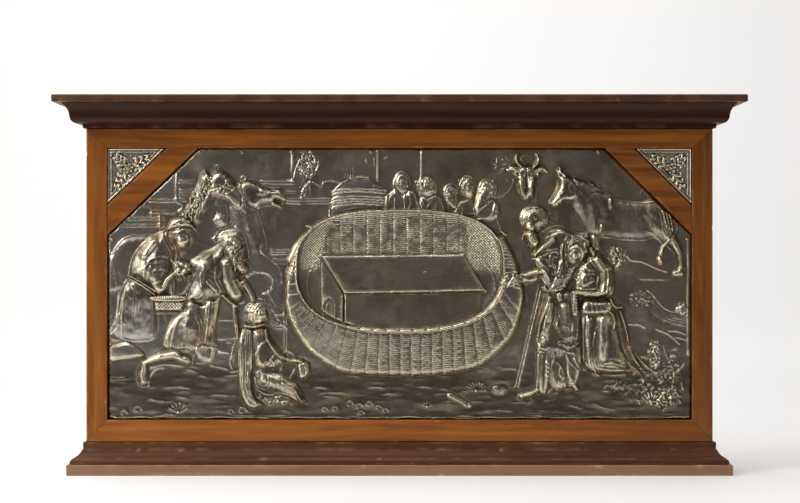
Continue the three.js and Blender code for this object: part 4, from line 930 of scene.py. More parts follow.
def stooping_woman(r):
    """The woman at the left, bent over a basket."""
    r.form([(-238, 170), (-246, 156), (-248.6, 138), (-250.6, 124), (-240, 117), (-224, 116), (-214, 120),
            (-214, 140), (-215, 160), (-226, 172)], 3.4, 9, slope=(0, 0.115))
    r.limb((-229, 162, 10, 6), (-231, 146, 12, 4.4), (-232, 132, 11, 1.0), folds=9, fold=0.28, turn=0.02,
           crown=2.0)
    r.lines([[(-238.6, 170), (-245.6, 159), (-247.4, 146), (-248.4, 136), (-252.6, 126), (-255, 124)],
             [(-237, 167), (-242, 158), (-245, 142), (-247.6, 128), (-253, 122.6)],
             [(-239.6, 162), (-241.6, 152), (-243, 136), (-243.6, 119.6)]], 0.6, 0.9)
    r.limb((-236.4, 166.6, 1.7, 6.8), (-233, 163, 1.5, 6.8), crown=1.8)
    r.form([(-207, 213), (-215, 209.6), (-224, 202.4), (-231, 194), (-235.4, 184), (-236.6, 174),
            (-227, 167),
            (-216, 158), (-206, 157), (-200, 166), (-198, 180), (-197.6, 194), (-200, 206)], 8.4, 17,
            crown=1.9)
    r.line([(-206, 213), (-214, 210), (-223, 203.4), (-230, 196), (-234.6, 187), (-236.4, 179),
            (-236.6, 174)], 0.6, 0.6)
    r.limb((-215, 202, 8, 8.8), (-222, 192, 8, 8.2), crown=1.9)
    r.limb((-211, 184, 10, 8.9), (-213, 172, 9.6, 8.6), (-210, 163, 7, 7.6), groove=0.35, crown=2.1)
    r.lines([[(-223, 170), (-223.6, 176), (-221, 183), (-217, 188), (-210, 190.6), (-203, 190)],
             [(-199.4, 188), (-198.6, 180), (-199.6, 174)], [(-222, 168), (-219, 177), (-217, 182)]],
             0.7, 0.8)
    r.lines([[(-207.6, 211), (-206, 204), (-202.6, 198), (-200, 192), (-199.4, 186)],
             [(-212.4, 209), (-212, 204), (-210.6, 201)], [(-204.6, 211), (-203, 204), (-199, 198)],
             [(-197, 200), (-195, 192), (-196, 186)]], 0.6, 0.9)
    r.strands([(-193, 199), (-192, 192), (-192, 187)], [5, 5, 4], 6, 0.4, 114, 0.5)
    r.lines([[(-216, 166), (-210, 169), (-206, 168)], [(-213, 163), (-208, 164.6), (-205, 167)],
             [(-220, 186), (-214, 184), (-209, 186)], [(-215, 177), (-209, 180), (-203, 178)]], 0.8, 0.45)
    r.limb((-207, 162, 3.8, 7.4), (-203, 170, 3.8, 7.6), (-197.6, 175.4, 3.4, 7.4), crown=2.0)
    r.line([(-206, 166.6), (-203.6, 171.6), (-199, 175), (-194, 177.6)], 1.0, 1.1)
    r.form([(-200, 186), (-190, 188), (-182, 184), (-182, 177), (-190, 172), (-198, 174)], 6.6, 5)
    for x, z, size in ((-195, 183, 2.6), (-190.4, 184, 2.8), (-186, 182, 2.6), (-193, 178.6, 2.6),
                       (-187.6, 177.6, 2.4), (-183.6, 179, 2)):
        r.oval(x, z, size, size * 0.9, 7.6, 20, groove=0.4)
        curl_plant(r, x, z, 1.7)
    r.lines([[(-200.6, 171), (-199.4, 164), (-199, 157)], [(-197.6, 172), (-197, 165), (-197.4, 157)],
             [(-196, 175), (-193, 170)], [(-193.6, 176), (-191, 170.6)], [(-190, 177), (-188, 172)]],
             0.7, 0.8)
    r.form([(-202, 173), (-184, 176), (-180, 171), (-188, 155), (-202, 155)], 3.6, 5)
    r.limb((-237, 174, 1.0, 7.2), (-226, 168, 1.1, 7.2), (-213, 159.4, 1.0, 6.8), groove=0.35)
    r.limb((-236, 171, 0.9, 7), (-225, 165, 0.9, 6.8), (-214, 157, 0.9, 6.4), groove=0.35)
    r.oval(-190.6, 210, 12, 14, 7.6, 8, crown=2.0)
    r.oval(-190.6, 204.4, 7.6, 8.6, 8.2, 8, groove=0.3)
    r.form([(-204, 213), (-200, 223), (-191, 226), (-182, 221), (-178, 213), (-184, 215), (-194, 214)],
           8.0, 5, groove=0.3)
    r.curls((-196, 219), (6.4, 4), 3.2, 0.8, 111, 20)
    r.curls((-184.6, 217), (5.4, 4), 3.2, 0.8, 112, -30)
    r.curls((-201, 209), (2.4, 6), 2.4, 0.7, 113)
    r.line([(-201, 212), (-194, 211.6), (-187, 214.6), (-180, 212)], 0.6, 0.9)
    face(r, -191.6, 206, 11, 1, -14)
    r.curls((-190, 196), (5.4, 3), 2.2, 0.5, 115)
    r.form([(-216, 156.6), (-187, 156.6), (-187.6, 151), (-215, 151)], 5.4, 2.4)
    for k in range(15):
        r.oval(-214.6 + 1.9 * k, 154.4 - 0.5 * math.sin(k / 3), 0.95, 1.2, 6.6, groove=0.3)
    r.line([(-215.6, 151.8), (-201, 151), (-187, 152)], 0.6, 0.9)
    r.form([(-215, 151), (-187.6, 151), (-189, 143), (-214, 143)], 3.6, 1.6, smooth=False)
    r.hatch((-201.6, 147.4), (15, 4.6), 2.0, 0.45, 45)
    r.hatch((-201.6, 147.4), (15, 4.6), 2.0, 0.45, -45)
    r.lines([[(-212, 144.4), (-189, 144.4)], [(-214, 141), (-192, 141.4)]], 0.6, 0.7, smooth=False)
    r.lines([[(-205, 140), (-203.6, 132), (-205, 120)], [(-217, 158), (-216, 140), (-217, 122)],
             [(-210, 138), (-211, 126)]], 0.7, 0.35)
    for spot in ((-221, 197, 13, 5.5, 48, 0.6), (-235, 165, 4, 3, 0, 0.5),
                 (-213, 206, 6, 3, 30, 0.3), (-204, 170, 3, 6, 0, 0.2),
                 (-244, 146, 2, 14, -8, 0.2)):
        r.highlight_spot(*spot)


def kneeling_man(r):
    """The bearded man beside her, bent to his work, with one foot drawn back."""
    r.form([(-189, 143), (-176, 148), (-164, 152), (-157, 154), (-159, 140), (-162, 126), (-160.6, 112),
            (-165, 97), (-176, 100), (-182, 108), (-196, 108), (-207, 112), (-204, 126), (-198, 137)],
            3.6, 5, slope=(0, 0.05))
    r.limb((-181, 144, 9, 6.8), (-185, 128, 12, 6.6), (-188, 117, 11, 3.6), crown=2.2)
    r.limb((-166, 148, 6, 5.6), (-168, 130, 6.4, 5.2), (-172, 110, 7, 1.8), folds=5, fold=0.3)
    r.lines([[(-188, 141.6), (-194, 140), (-199.6, 134.6), (-203.4, 124), (-206.4, 113)],
             [(-190, 138.6), (-195.6, 131), (-198.6, 122), (-200.4, 112)],
             [(-193.6, 136), (-197, 127), (-199, 119)],
             [(-175.6, 140), (-172.6, 131), (-174.6, 119), (-179, 106), (-181.6, 97)],
             [(-178, 138), (-174.6, 128), (-177, 114)],
             [(-158.6, 150), (-160, 140), (-161.8, 128), (-160.4, 112)],
             [(-163.6, 128), (-163.6, 112), (-166, 99)], [(-169, 144), (-168, 130), (-170, 116)],
             [(-206, 113), (-200, 109), (-193, 110), (-186, 111), (-181, 107.6)],
             [(-178, 110), (-170, 111.6), (-160, 110)]], 0.65, 0.8)
    r.form([(-183, 186), (-178, 190.6), (-168, 196), (-158, 201), (-151, 198), (-150, 184), (-153, 168),
            (-156, 156), (-170, 150), (-187, 151), (-186, 160), (-181.6, 172)], 7.6, 13, crown=2.0)
    r.oval(-168, 184, 14, 11, 8.4, 42, crown=2.2)
    r.limb((-171, 188, 2.0, 9), (-165, 192, 1.8, 9.2), crown=1.8)
    r.line([(-183, 183), (-178, 189.6), (-168, 195.6), (-159, 200)], 0.6, 0.7)
    r.lines([[(-181.6, 182), (-180.6, 173), (-184, 163), (-187.6, 153)], [(-179, 176), (-183, 166)],
             [(-171, 181), (-174, 174), (-173, 164)],
             [(-160.6, 181), (-161.4, 172), (-158, 164), (-152, 157)],
             [(-168, 168), (-163, 163), (-159, 157)], [(-166, 171), (-161.6, 165)],
             [(-187, 154), (-176, 151), (-166, 151.4), (-157, 155)],
             [(-185, 150.6), (-175, 147.4)], [(-172, 158), (-176, 154), (-183, 155)]], 0.75, 0.8)
    r.limb((-166, 168, 3, 7.4), (-160.6, 161, 2.6, 7), crown=1.8, groove=0.2)
    r.limb((-151.6, 184, 8.4, 8.4), (-149.6, 170, 8.4, 8.7), (-143.6, 157, 6.8, 7.6), crown=2.2,
           groove=0.35)
    r.lines([[(-144.6, 186), (-142.8, 176), (-141.6, 171), (-136, 163), (-131.6, 155)],
             [(-157, 178), (-157.6, 170), (-154, 161), (-148, 153), (-141, 149.6), (-136, 151)]], 0.7,
             0.8)
    r.limb((-143.8, 183, 1.2, 9), (-143.4, 178, 1.1, 9), crown=1.8, groove=0.2)
    r.limb((-141.8, 170, 1.8, 8.8), (-137.6, 164.4, 1.8, 8.6), crown=1.8, groove=0.2)
    r.limb((-136.6, 168, 3.4, 6.4), (-131.6, 160, 2.8, 6), (-128, 152, 3.2, 5.4), crown=2)
    r.line([(-131.4, 164), (-129.6, 159), (-128, 154)], 0.9, 1.1)
    r.line([(-134, 172), (-128, 176), (-120, 176.6), (-113, 174), (-110.6, 168), (-113, 160.6),
            (-120, 157.4)], 0.7, 0.8)
    r.lines([[(-128, 152), (-120, 156)], [(-129, 157.6), (-121, 154)],
             [(-115, 161), (-112, 154), (-108, 147)]], 0.7, 0.6)
    r.oval(-183, 148.6, 6, 4.6, 7.6, 20, crown=1.9)
    r.limb((-184.6, 147, 1.8, 8), (-181, 149, 1.6, 7.8), crown=1.8)
    r.oval(-146.6, 203, 13, 12, 7.6, -10, crown=2.0)
    r.strands([(-161, 203), (-155, 208), (-147, 212), (-139, 209)], [4, 5, 5, 4], 9, 0.6, 122, 0.6)
    r.line([(-159, 207), (-153, 212.6), (-146, 213.6), (-138, 211), (-134.4, 205), (-132.4, 196),
            (-131.6, 189)], 0.6, 0.9)
    r.limb((-145, 196, 11, 8), (-143, 187, 9.6, 7.6), (-138, 180, 5.4, 6.4), crown=2.2)
    r.curls((-145, 190), (12, 9.6), 2.7, 0.7, 123)
    r.curls((-136.6, 192), (4, 11), 2.4, 0.7, 124)
    r.curls((-140, 179), (4, 3), 2.4, 0.6, 125)
    r.oval(-143.6, 201.6, 6.4, 6, 8.4, -20, groove=0.4)
    face(r, -144.6, 202, 9.6, 1, -20)
    r.limb((-222, 98, 3, 4.6), (-209, 102.4, 4.8, 6.4), (-198, 104, 5.2, 6.6), (-187, 99.6, 4.8, 5),
           crown=2.0)
    r.line([(-221, 101), (-214, 103.4), (-206, 105.6), (-198, 107.2), (-192, 106.4)], 1.1, 1.2)
    r.lines([[(-218, 92.6), (-213, 93.6), (-206, 95.8), (-196, 95), (-188, 94.8), (-183, 98.6)],
             [(-195.6, 106.4), (-192, 102.6), (-188, 99.6)],
             [(-225, 100.4), (-228.6, 93), (-230, 85), (-228.6, 79), (-225, 76.6), (-219, 77.6)],
             [(-219.6, 79), (-217.6, 86), (-213, 91.6), (-206, 93)], [(-221.6, 92), (-220.8, 82)]], 0.7,
             0.8)
    r.limb((-223.6, 97, 3.4, 4.2), (-225, 87, 3.8, 4.2), (-224, 80.6, 3.4, 3.8), crown=2)
    r.line([(-220.8, 88), (-220, 80.6)], 0.7, 0.9)
    for spot in ((-172, 189, 11, 4.5, 38, 0.6), (-139, 166, 3, 7, 30, 0.6),
                 (-204, 104.6, 14, 3, 8, 0.7), (-225, 84, 3, 7, 0, 0.4),
                 (-183, 148, 4, 3, 0, 0.5), (-201, 126, 3, 10, 12, 0.25),
                 (-150, 208, 9, 4, 0, 0.25)):
        r.highlight_spot(*spot)


def trestle(r):
    """The stand and the staff between the man and the ark."""
    r.limb((-156, 157.6, 1.3, 4.6), (-149, 151, 1.5, 5), (-142.6, 147, 1.7, 5))
    r.limb((-145, 147.6, 2.2, 4.2), (-143.6, 134, 2.1, 4.4), (-142, 119, 1.7, 4))
    r.line([(-145, 146), (-143.4, 134), (-142.4, 121)], 0.8, -0.9, smooth=False)
    r.lines([[(-147, 146), (-145.4, 133), (-143.8, 118)], [(-142.8, 147), (-141.4, 134), (-140.6, 119)],
             [(-143, 118), (-147, 104), (-148.4, 97), (-146, 91), (-144.6, 89.6)],
             [(-141, 117), (-144.6, 103), (-145.6, 96), (-144, 91)]], 0.6, 0.8)
    r.courses(-158, -145.4, (134.6,), 0.6, 0.6)
    r.courses(-161, -143.6, (118,), 0.6, 0.6)
    r.line([(-152, 115.6), (-146, 115)], 0.6, 0.4)
    r.lines([[(-148, 89.4), (-141, 89.6)], [(-165, 95), (-155, 93), (-147, 90.6)],
             [(-158, 107), (-150, 106)], [(-178, 97), (-168, 97.4)]], 0.7, 0.6)
    r.lines([[(-101.4, 152), (-100.6, 128), (-100.8, 108)], [(-99, 152), (-98.6, 128), (-98.8, 108)]],
            0.6, 0.8, smooth=False)
    r.line([(-110, 140), (-101, 140)], 0.6, 0.5)
    r.line([(-99, 128), (-104, 131)], 0.8, 0.9)


def cloaked_child(r):
    """The child in front of the ark, with a long cloak down the back."""
    r.form([(-138, 128), (-129, 128), (-126.6, 114), (-129, 96), (-130, 80), (-126.6, 67), (-120, 61),
            (-127, 57), (-134, 60), (-138, 68), (-140, 82), (-141.6, 98), (-142, 112)], 4.0, 4, crown=3)
    r.strands([(-133.4, 126), (-134.6, 110), (-135, 92), (-135, 76), (-130, 64), (-124, 60)],
              [3.6, 6.2, 5.8, 4.4, 4, 3], 11, 0.85, 131, 0.5)
    r.lines([[(-137.6, 127), (-140.4, 120), (-142.6, 110), (-141, 96), (-140, 85), (-139.4, 75),
              (-136.6, 65),
              (-131.6, 59), (-126, 57)],
             [(-128, 116), (-128, 106), (-130, 92), (-131, 76), (-127.4, 66.6), (-121, 62)],
             [(-132, 90), (-133.4, 76), (-129.6, 65), (-123, 60)],
             [(-142, 118), (-145, 107), (-147.6, 99), (-145, 91), (-140, 89)]], 0.6, 0.75)
    r.form([(-130, 126), (-119, 128), (-113, 120), (-104, 108), (-99, 101), (-108, 92), (-124, 92),
            (-129, 106)], 5.6, 9)
    r.oval(-124.6, 140.4, 11.4, 11.2, 7.6, crown=2.0)
    r.oval(-121.4, 138.6, 6.8, 8, 8.2, -10, groove=0.45)
    r.strands([(-134.6, 134), (-134, 142), (-128, 149), (-119, 149.6), (-112, 144)],
              [1.6, 2.6, 3, 3, 2], 5, 0.8, 133, 0.3)
    r.curls((-127, 145), (8, 5), 2.6, 0.9, 132)
    r.strands([(-115, 147), (-110, 142), (-109, 135), (-104, 131)], [1.6, 3, 3, 2], 5, 0.7, 134, 0.4)
    r.strands([(-112, 134), (-108, 130), (-101, 130), (-97, 126)], [1.6, 2.4, 2, 1.4], 4, 0.55, 136, 0.4)
    r.curls((-133, 137), (2, 6), 2, 0.5, 137)
    face(r, -122.4, 139.6, 9.4, 1, -16)
    r.limb((-136, 129.8, 1.3, 7.4), (-128, 128.6, 1.4, 7.8), (-118.6, 131, 1.2, 7.2), groove=0.3)
    r.line([(-135, 127.4), (-128, 126.6), (-119.6, 129.2)], 0.7, -1.0)
    r.line([(-136.6, 126), (-129, 124.6), (-121, 126.4)], 0.6, 0.5)
    r.limb((-117, 126, 1.6, 7), (-115.8, 118, 1.9, 7), (-110.4, 109.6, 2.1, 7), (-105, 103.4, 2.1, 6.6),
           (-100, 101, 1.9, 6), crown=1.9, groove=0.2)
    r.lines([[(-115.6, 117.6), (-120.6, 114), (-124.6, 108), (-127.4, 103.6)],
             [(-108.6, 106), (-112, 101), (-114.6, 97)], [(-123.6, 101.4), (-120.8, 97), (-118, 92)],
             [(-112, 100), (-109.6, 95), (-111, 91)], [(-106, 100), (-103, 95), (-104, 90)]], 0.8, 0.9)
    r.curls((-113, 96), (7, 4.4), 2.6, 0.55, 138)
    r.limb((-103, 102, 2.2, 5.8), (-95, 99.4, 2.2, 5.6), (-86, 98.6, 2.2, 5.4), crown=2)
    r.form([(-90, 96), (-85, 98.6), (-79.6, 97.4), (-78.6, 90), (-82, 84), (-87.6, 83), (-89, 89)], 4.6,
           3.4)
    r.lines([[(-88, 97), (-86, 91), (-87, 85)], [(-83.6, 97), (-81.6, 92), (-80.4, 87)],
             [(-84.6, 94), (-84.6, 88), (-83, 84)], [(-91, 92.6), (-94, 87), (-96, 84.6)]], 0.6, 0.8)
    r.lines([[(-100.6, 106.6), (-97, 107.4), (-93, 105), (-90.6, 101)],
             [(-98, 104), (-94, 102.6), (-91, 100.6)],
             [(-99, 108), (-102, 106), (-101, 103)]], 0.6, 0.8)
    r.limb((-119, 83, 9, 6.6), (-107, 80, 9, 6.6), (-95, 73, 7, 5.6), (-86, 64, 3.6, 4.4), crown=2.1)
    r.oval(-119.6, 83, 6.2, 7.4, 7.6, 8, groove=0.5)
    r.oval(-119.6, 83.4, 4.0, 5.2, 8.6, 8, groove=0.5)
    r.strands([(-112, 90), (-103, 88), (-95, 81), (-88, 71), (-84, 62)], [2, 3, 3, 2.6, 2], 6, 0.55,
              135, 0.6)
    r.limb((-102, 79.6, 1.6, 7.8), (-96, 76.4, 2.0, 7.8), (-91, 73, 2.0, 7.4), (-88.4, 67.6, 2.2, 7),
           (-86, 64, 1.6, 6.4), crown=1.9)
    r.lines([[(-110, 91), (-104, 89), (-97, 85), (-90, 77), (-85, 70), (-82, 61.6)],
             [(-127.4, 84), (-126, 77), (-122, 72.4), (-115, 69.4), (-108, 70.4), (-101, 70), (-94, 67.4),
              (-89, 63)], [(-126, 69), (-124, 67), (-121.6, 68), (-122.6, 70.4)],
             [(-108, 67), (-103, 68.6), (-97, 66)], [(-110, 64), (-104, 63), (-98, 64)]], 0.7, 0.85)
    r.curls((-103, 64.6), (12, 3.4), 3, 0.6, 139)
    for spot in ((-94, 75, 8, 3, -40, 0.6), (-119.6, 84, 3, 4, 0, 0.5),
                 (-129, 129, 8, 1.6, 0, 0.6), (-128, 147, 6, 3, 30, 0.4),
                 (-107, 107, 3, 8, 40, 0.4), (-85, 91, 4, 5, 0, 0.4)):
        r.highlight_spot(*spot)


def old_man(r):
    """The old bearded man at the right, with a staff at his side."""
    r.form([(125, 205), (132, 213), (142, 216), (155, 211.6), (166, 211), (167, 200), (160, 184),
            (150, 168),
            (142, 158), (128, 160), (120, 178), (116, 189), (124, 198)], 6.2, 9)
    r.lines([[(126, 212), (130, 214.6), (136, 217.4), (143, 217), (150, 213.8), (157, 211), (165, 210.6)],
             [(125, 203), (129, 207.6), (135, 210.4), (141, 211), (147, 210), (152, 207.6)],
             [(129, 212), (136, 214), (144, 213)]], 0.7, 0.85)
    r.limb((134, 206, 3.6, 8.4), (126, 199.6, 3.8, 8.8), (118, 191.4, 2.0, 7.6), crown=1.9, groove=0.2)
    r.lines([[(133, 208.6), (124, 201), (116, 190.6)], [(135, 204), (127, 197), (118, 190)]], 0.7, 0.8)
    r.line([(116.6, 189.6), (122, 191.6), (128, 193.8), (138, 196)], 1.1, -1.3)
    r.form([(117, 188.6), (128, 192.4), (138, 194), (140, 180), (134, 168), (126, 170), (121, 181)],
           6.2, 5)
    r.lines([[(115.4, 189), (119, 184.6), (122, 180), (127, 177), (130, 172), (131, 167)],
             [(131, 186), (131.6, 191), (135, 194.4), (139, 193)], [(133, 186), (135, 190), (138, 190)],
             [(119, 181), (121, 175), (126, 169), (128, 164)], [(122, 186), (127, 182), (130, 178)],
             [(134, 184), (137, 180), (136, 174)], [(128, 188), (132, 183), (136, 180)]], 0.7, 0.8)
    r.curls((134, 182), (4.6, 9), 2.6, 0.6, 145)
    r.limb((142.6, 201, 1.5, 9), (141.4, 193, 1.8, 9), (142, 186, 1.6, 8.8), crown=1.8, groove=0.3)
    r.limb((148.6, 201, 2.2, 8.8), (150.4, 204, 2.0, 8.6), groove=0.3, crown=1.9)
    r.line([(146, 208), (144.6, 200), (145, 190), (146.6, 182)], 0.7, 0.8)
    r.limb((141, 186, 3.4, 7.4), (139.6, 176, 4.2, 7.2), (135, 166, 4, 6.2), (131, 160, 3, 5.4), crown=2)
    r.strands([(143, 186), (141.6, 176), (136.6, 166), (131, 159)], [2.6, 4, 4, 3], 7, 0.6, 141, 0.7)
    r.curls((139, 175), (3, 9), 2.2, 0.7, 146, -14)
    r.curls((146, 173), (5, 10), 3, 0.55, 147)
    r.oval(118, 223.6, 12.6, 12, 6.6, -8, crown=2.5)
    for size in (11.6, 9.4, 7.2, 5.2):
        arc = [(117.6 + size * math.cos(a), 223 + size * 0.96 * math.sin(a))
               for a in np.arange(-0.4, 3.7, 0.3)]
        r.line(arc, 0.6, 0.55)
    r.curls((119, 228), (9, 5), 3, 0.7, 142)
    r.oval(114.6, 216.6, 5.8, 7.0, 7.3, 8, groove=0.2)
    face(r, 116.4, 216.4, 9.6, -1, 6)
    r.limb((115, 209, 6, 6.2), (117, 203, 5.4, 5.6), crown=2.4)
    r.curls((116.4, 206), (6.6, 6), 2.3, 1.0, 143)
    r.strands([(112, 213), (112.4, 206), (115, 200)], [2.6, 4, 3.6], 6, 0.7, 149, 0.6)
    r.strands([(124, 221), (130, 218.6), (137, 217)], [3.4, 3, 2], 5, 0.6, 144, 0.4)
    r.lines([[(128, 222), (131.6, 228)], [(136, 226), (138.6, 229), (138, 222)]], 0.6, 0.5)
    r.limb((127, 177, 2.8, 6.8), (118, 176.6, 3.2, 6.6), (110, 174.4, 2.6, 6), crown=2)
    r.form([(120, 177), (108, 176), (94, 176), (89, 169), (96, 163.6), (106, 166), (121, 169)], 3.4, 4)
    r.curls((97, 170), (9, 6), 3.2, 1.0, 148)
    for k in range(4):
        r.limb((108 - 1.6 * k, 174.6 - 1.6 * k, 1.4, 5.4), (101 - 1.6 * k, 173.4 - 2.0 * k, 1.2, 5.2),
               (96 - 0.6 * k, 168.6 - 1.4 * k, 1.0, 4.4), crown=2, groove=0.2)
    r.lines([[(103, 174), (109, 171.6), (115, 168.6)],
             [(100, 178), (108, 176), (116, 178), (120, 178.6)]], 0.7, 0.9)
    r.lines([[(108.6, 209), (106.8, 200), (106.6, 188), (107.6, 179)], [(110.4, 208), (108.4, 196)],
             [(111, 160), (111.6, 152)]], 0.55, 0.4)
    r.lines([[(122.4, 166), (119.4, 152), (115, 134), (110, 112), (106, 95), (101.4, 76.6)],
             [(124.8, 166), (122, 152), (118, 136), (112.6, 113), (108.6, 95), (104, 76)],
             [(126, 163), (124.6, 154), (122.6, 146)]], 0.6, 0.9)
    r.line([(123.6, 165), (120.6, 151), (116.6, 135), (111.2, 112), (107.2, 95), (102.8, 76.4)], 0.7,
           -0.6)
    r.limb((126.6, 163, 3, 6.4), (131, 159.6, 3.4, 6.4), (140, 161.6, 4, 6.4), crown=2)
    r.lines([[(126, 165), (129, 160.6), (135, 161.6), (141, 165)],
             [(134, 164), (138, 168), (140, 171)]], 0.7, 0.9)
    for spot in ((125, 199, 3, 10, -40, 0.6), (110, 230, 5, 4, 40, 0.4),
                 (141, 212, 9, 2.5, 0, 0.4), (104, 170, 8, 3, 0, 0.3),
                 (141.6, 196, 1.6, 8, 0, 0.5)):
        r.highlight_spot(*spot)


def child_in_tunic(r):
    """The child between the old man and the kneeling girl, in a tunic and laced leggings."""
    r.form([(127, 158), (138, 160), (152, 160), (158, 152), (158.6, 130), (157.6, 112), (156, 98),
            (146, 103),
            (132, 104), (122, 105), (119.4, 118), (120, 132), (124.6, 146)], 4.6, 8)
    r.limb((131, 154.6, 3.4, 8.2), (129.6, 149, 3.6, 8.2), (126, 141, 2.8, 7.2), (122.6, 132, 2.0, 6.2),
           (121, 121, 1.6, 5.2), crown=2, groove=0.2)
    r.limb((132, 148, 5, 7.4), (130, 135, 6, 7.2), (127, 120, 6, 6), crown=2.1)
    r.limb((145, 146, 8, 7), (146, 134, 8.4, 6.8), (148, 120, 8, 5.6), crown=2.1)
    r.lines([[(130, 161), (127, 150), (122.4, 141), (120, 129), (120.8, 117), (124, 110.4), (128, 108.6)],
             [(133.6, 147), (134, 140), (131.6, 132), (128.4, 126)],
             [(136.6, 146), (136.4, 139), (134, 131)],
             [(131, 149), (132, 141), (129.6, 134)], [(127, 144), (127.6, 136), (126, 128)],
             [(139, 146), (139.6, 138)],
             [(158.6, 160), (158.8, 140), (158, 120), (157.8, 106), (159.6, 94)],
             [(156, 152), (156.4, 136),
             (155.6, 122)], [(120.6, 119), (122, 112), (127, 109.4), (131, 111)],
             [(143, 113.4), (148, 111), (153, 112.6), (157, 115)],
             [(144, 108), (147, 106.4), (152, 106)]], 0.7, 0.85)
    r.form([(136, 158), (142, 160), (143, 152), (138, 150)], 7.4, 2.4, groove=0.3)
    r.curls((138, 156), (4.6, 4.6), 2.2, 0.8, 153)
    r.curls((149, 156), (6, 4), 2.4, 0.6, 154)
    r.oval(125, 116, 3.4, 5, 4.6, 0, groove=0.7)
    r.limb((138, 132.6, 2.3, 7.8), (137, 129.4, 2.3, 7.6), crown=1.9, groove=0.3)
    r.limb((151.4, 131, 1.4, 7.8), (151, 125.6, 1.6, 7.6), crown=1.9, groove=0.3)
    r.lines([[(135.6, 129), (140, 127), (146, 129), (150, 124)], [(139, 125), (144, 127)]], 0.7, 0.7)
    r.limb((134.8, 105, 2.0, 7.2), (134.4, 102.6, 2.2, 7), crown=1.9, groove=0.3)
    r.limb((122, 106.6, 1.6, 6), (126, 106.6, 1.8, 6.2), crown=1.9, groove=0.2)
    r.curls((147, 116), (8, 6), 3, 0.6, 151)
    r.curls((140, 108), (5, 3), 2.6, 0.5, 155)
    r.form([(120, 114), (133, 114), (132.6, 92), (130, 76), (126.6, 69), (121, 73), (119.6, 90)], 4.2,
           4.6)
    r.line([(127, 106), (126.6, 92), (125.6, 70)], 1.9, -2.2)
    r.limb((121.6, 104, 1.6, 5), (121, 90, 1.5, 5), (120, 76, 1.5, 4.6), crown=1.9)
    r.form([(130, 112), (147, 112), (148, 90), (145.6, 76), (136, 74), (130, 86)], 3.2, 7)
    r.lines([[(119.6, 106), (120, 92), (119.4, 78), (118.8, 74)],
             [(145, 106), (147, 96), (146.6, 84), (145, 76)],
             [(136, 104), (133, 94), (132, 82), (133, 74)], [(141, 94), (140, 88), (143, 84)]], 0.7, 0.8)
    for k in range(7):
        r.line([(128.4, 98 - 3.8 * k), (131.4, 96.4 - 3.8 * k), (130.4, 94.4 - 3.8 * k)], 0.7, 0.9)
    r.lines([[(138, 98), (142, 92), (144, 84)], [(139.6, 81), (138.6, 77), (142, 75)],
             [(144, 80), (146.6, 74)]], 0.7, 0.8)
    r.form([(145, 112), (158, 112), (159, 92), (155, 78), (148, 76), (145, 88)], 4.2, 5)
    r.limb((153, 101, 1.8, 6.4), (154.6, 97, 2.0, 6.4), (157, 93.4, 1.4, 6), crown=1.8, groove=0.2)
    r.lines([[(146, 104), (148.6, 98), (153, 94), (156, 90)], [(158.6, 94), (157.4, 84)]], 0.7, 0.8)
    r.limb((148, 88, 2.4, 4.6), (152, 79, 2.8, 4.6), (154.8, 74.4, 2.6, 4.2))
    for k in range(5):
        r.line([(148, 84.6 - 2.4 * k), (152, 82.2 - 2 * k), (155.4, 79.4 - 1.6 * k)], 0.6, 0.85)
    r.limb((121, 73.6, 2.2, 4.6), (114, 70, 3.0, 4.6), (107, 68, 3.2, 4.4), crown=2)
    r.lines([[(121, 75), (116, 72), (110, 71), (105, 69.4)], [(104, 69), (103.4, 65.6), (108, 64)]],
            0.7, 0.9)
    for k in range(5):
        r.line([(105 + 2.4 * k, 65.6), (106.4 + 2.4 * k, 68), (108.4 + 2.4 * k, 69.8)], 0.6, 0.95)
    r.curls((112, 63), (8, 2.6), 2.4, 0.4, 152)
    r.curls((136, 74), (7, 2.4), 2.4, 0.4, 156)
    for spot in ((128, 149, 3, 9, -22, 0.7), (137.6, 131, 3, 4, 0, 0.7),
                 (151, 128, 2.4, 5, 0, 0.5), (120.6, 88, 1.6, 16, 0, 0.4),
                 (155, 98, 3, 6, 30, 0.4), (110, 69, 8, 2.4, 12, 0.4),
                 (134.6, 104, 3, 3, 0, 0.5)):
        r.highlight_spot(*spot)


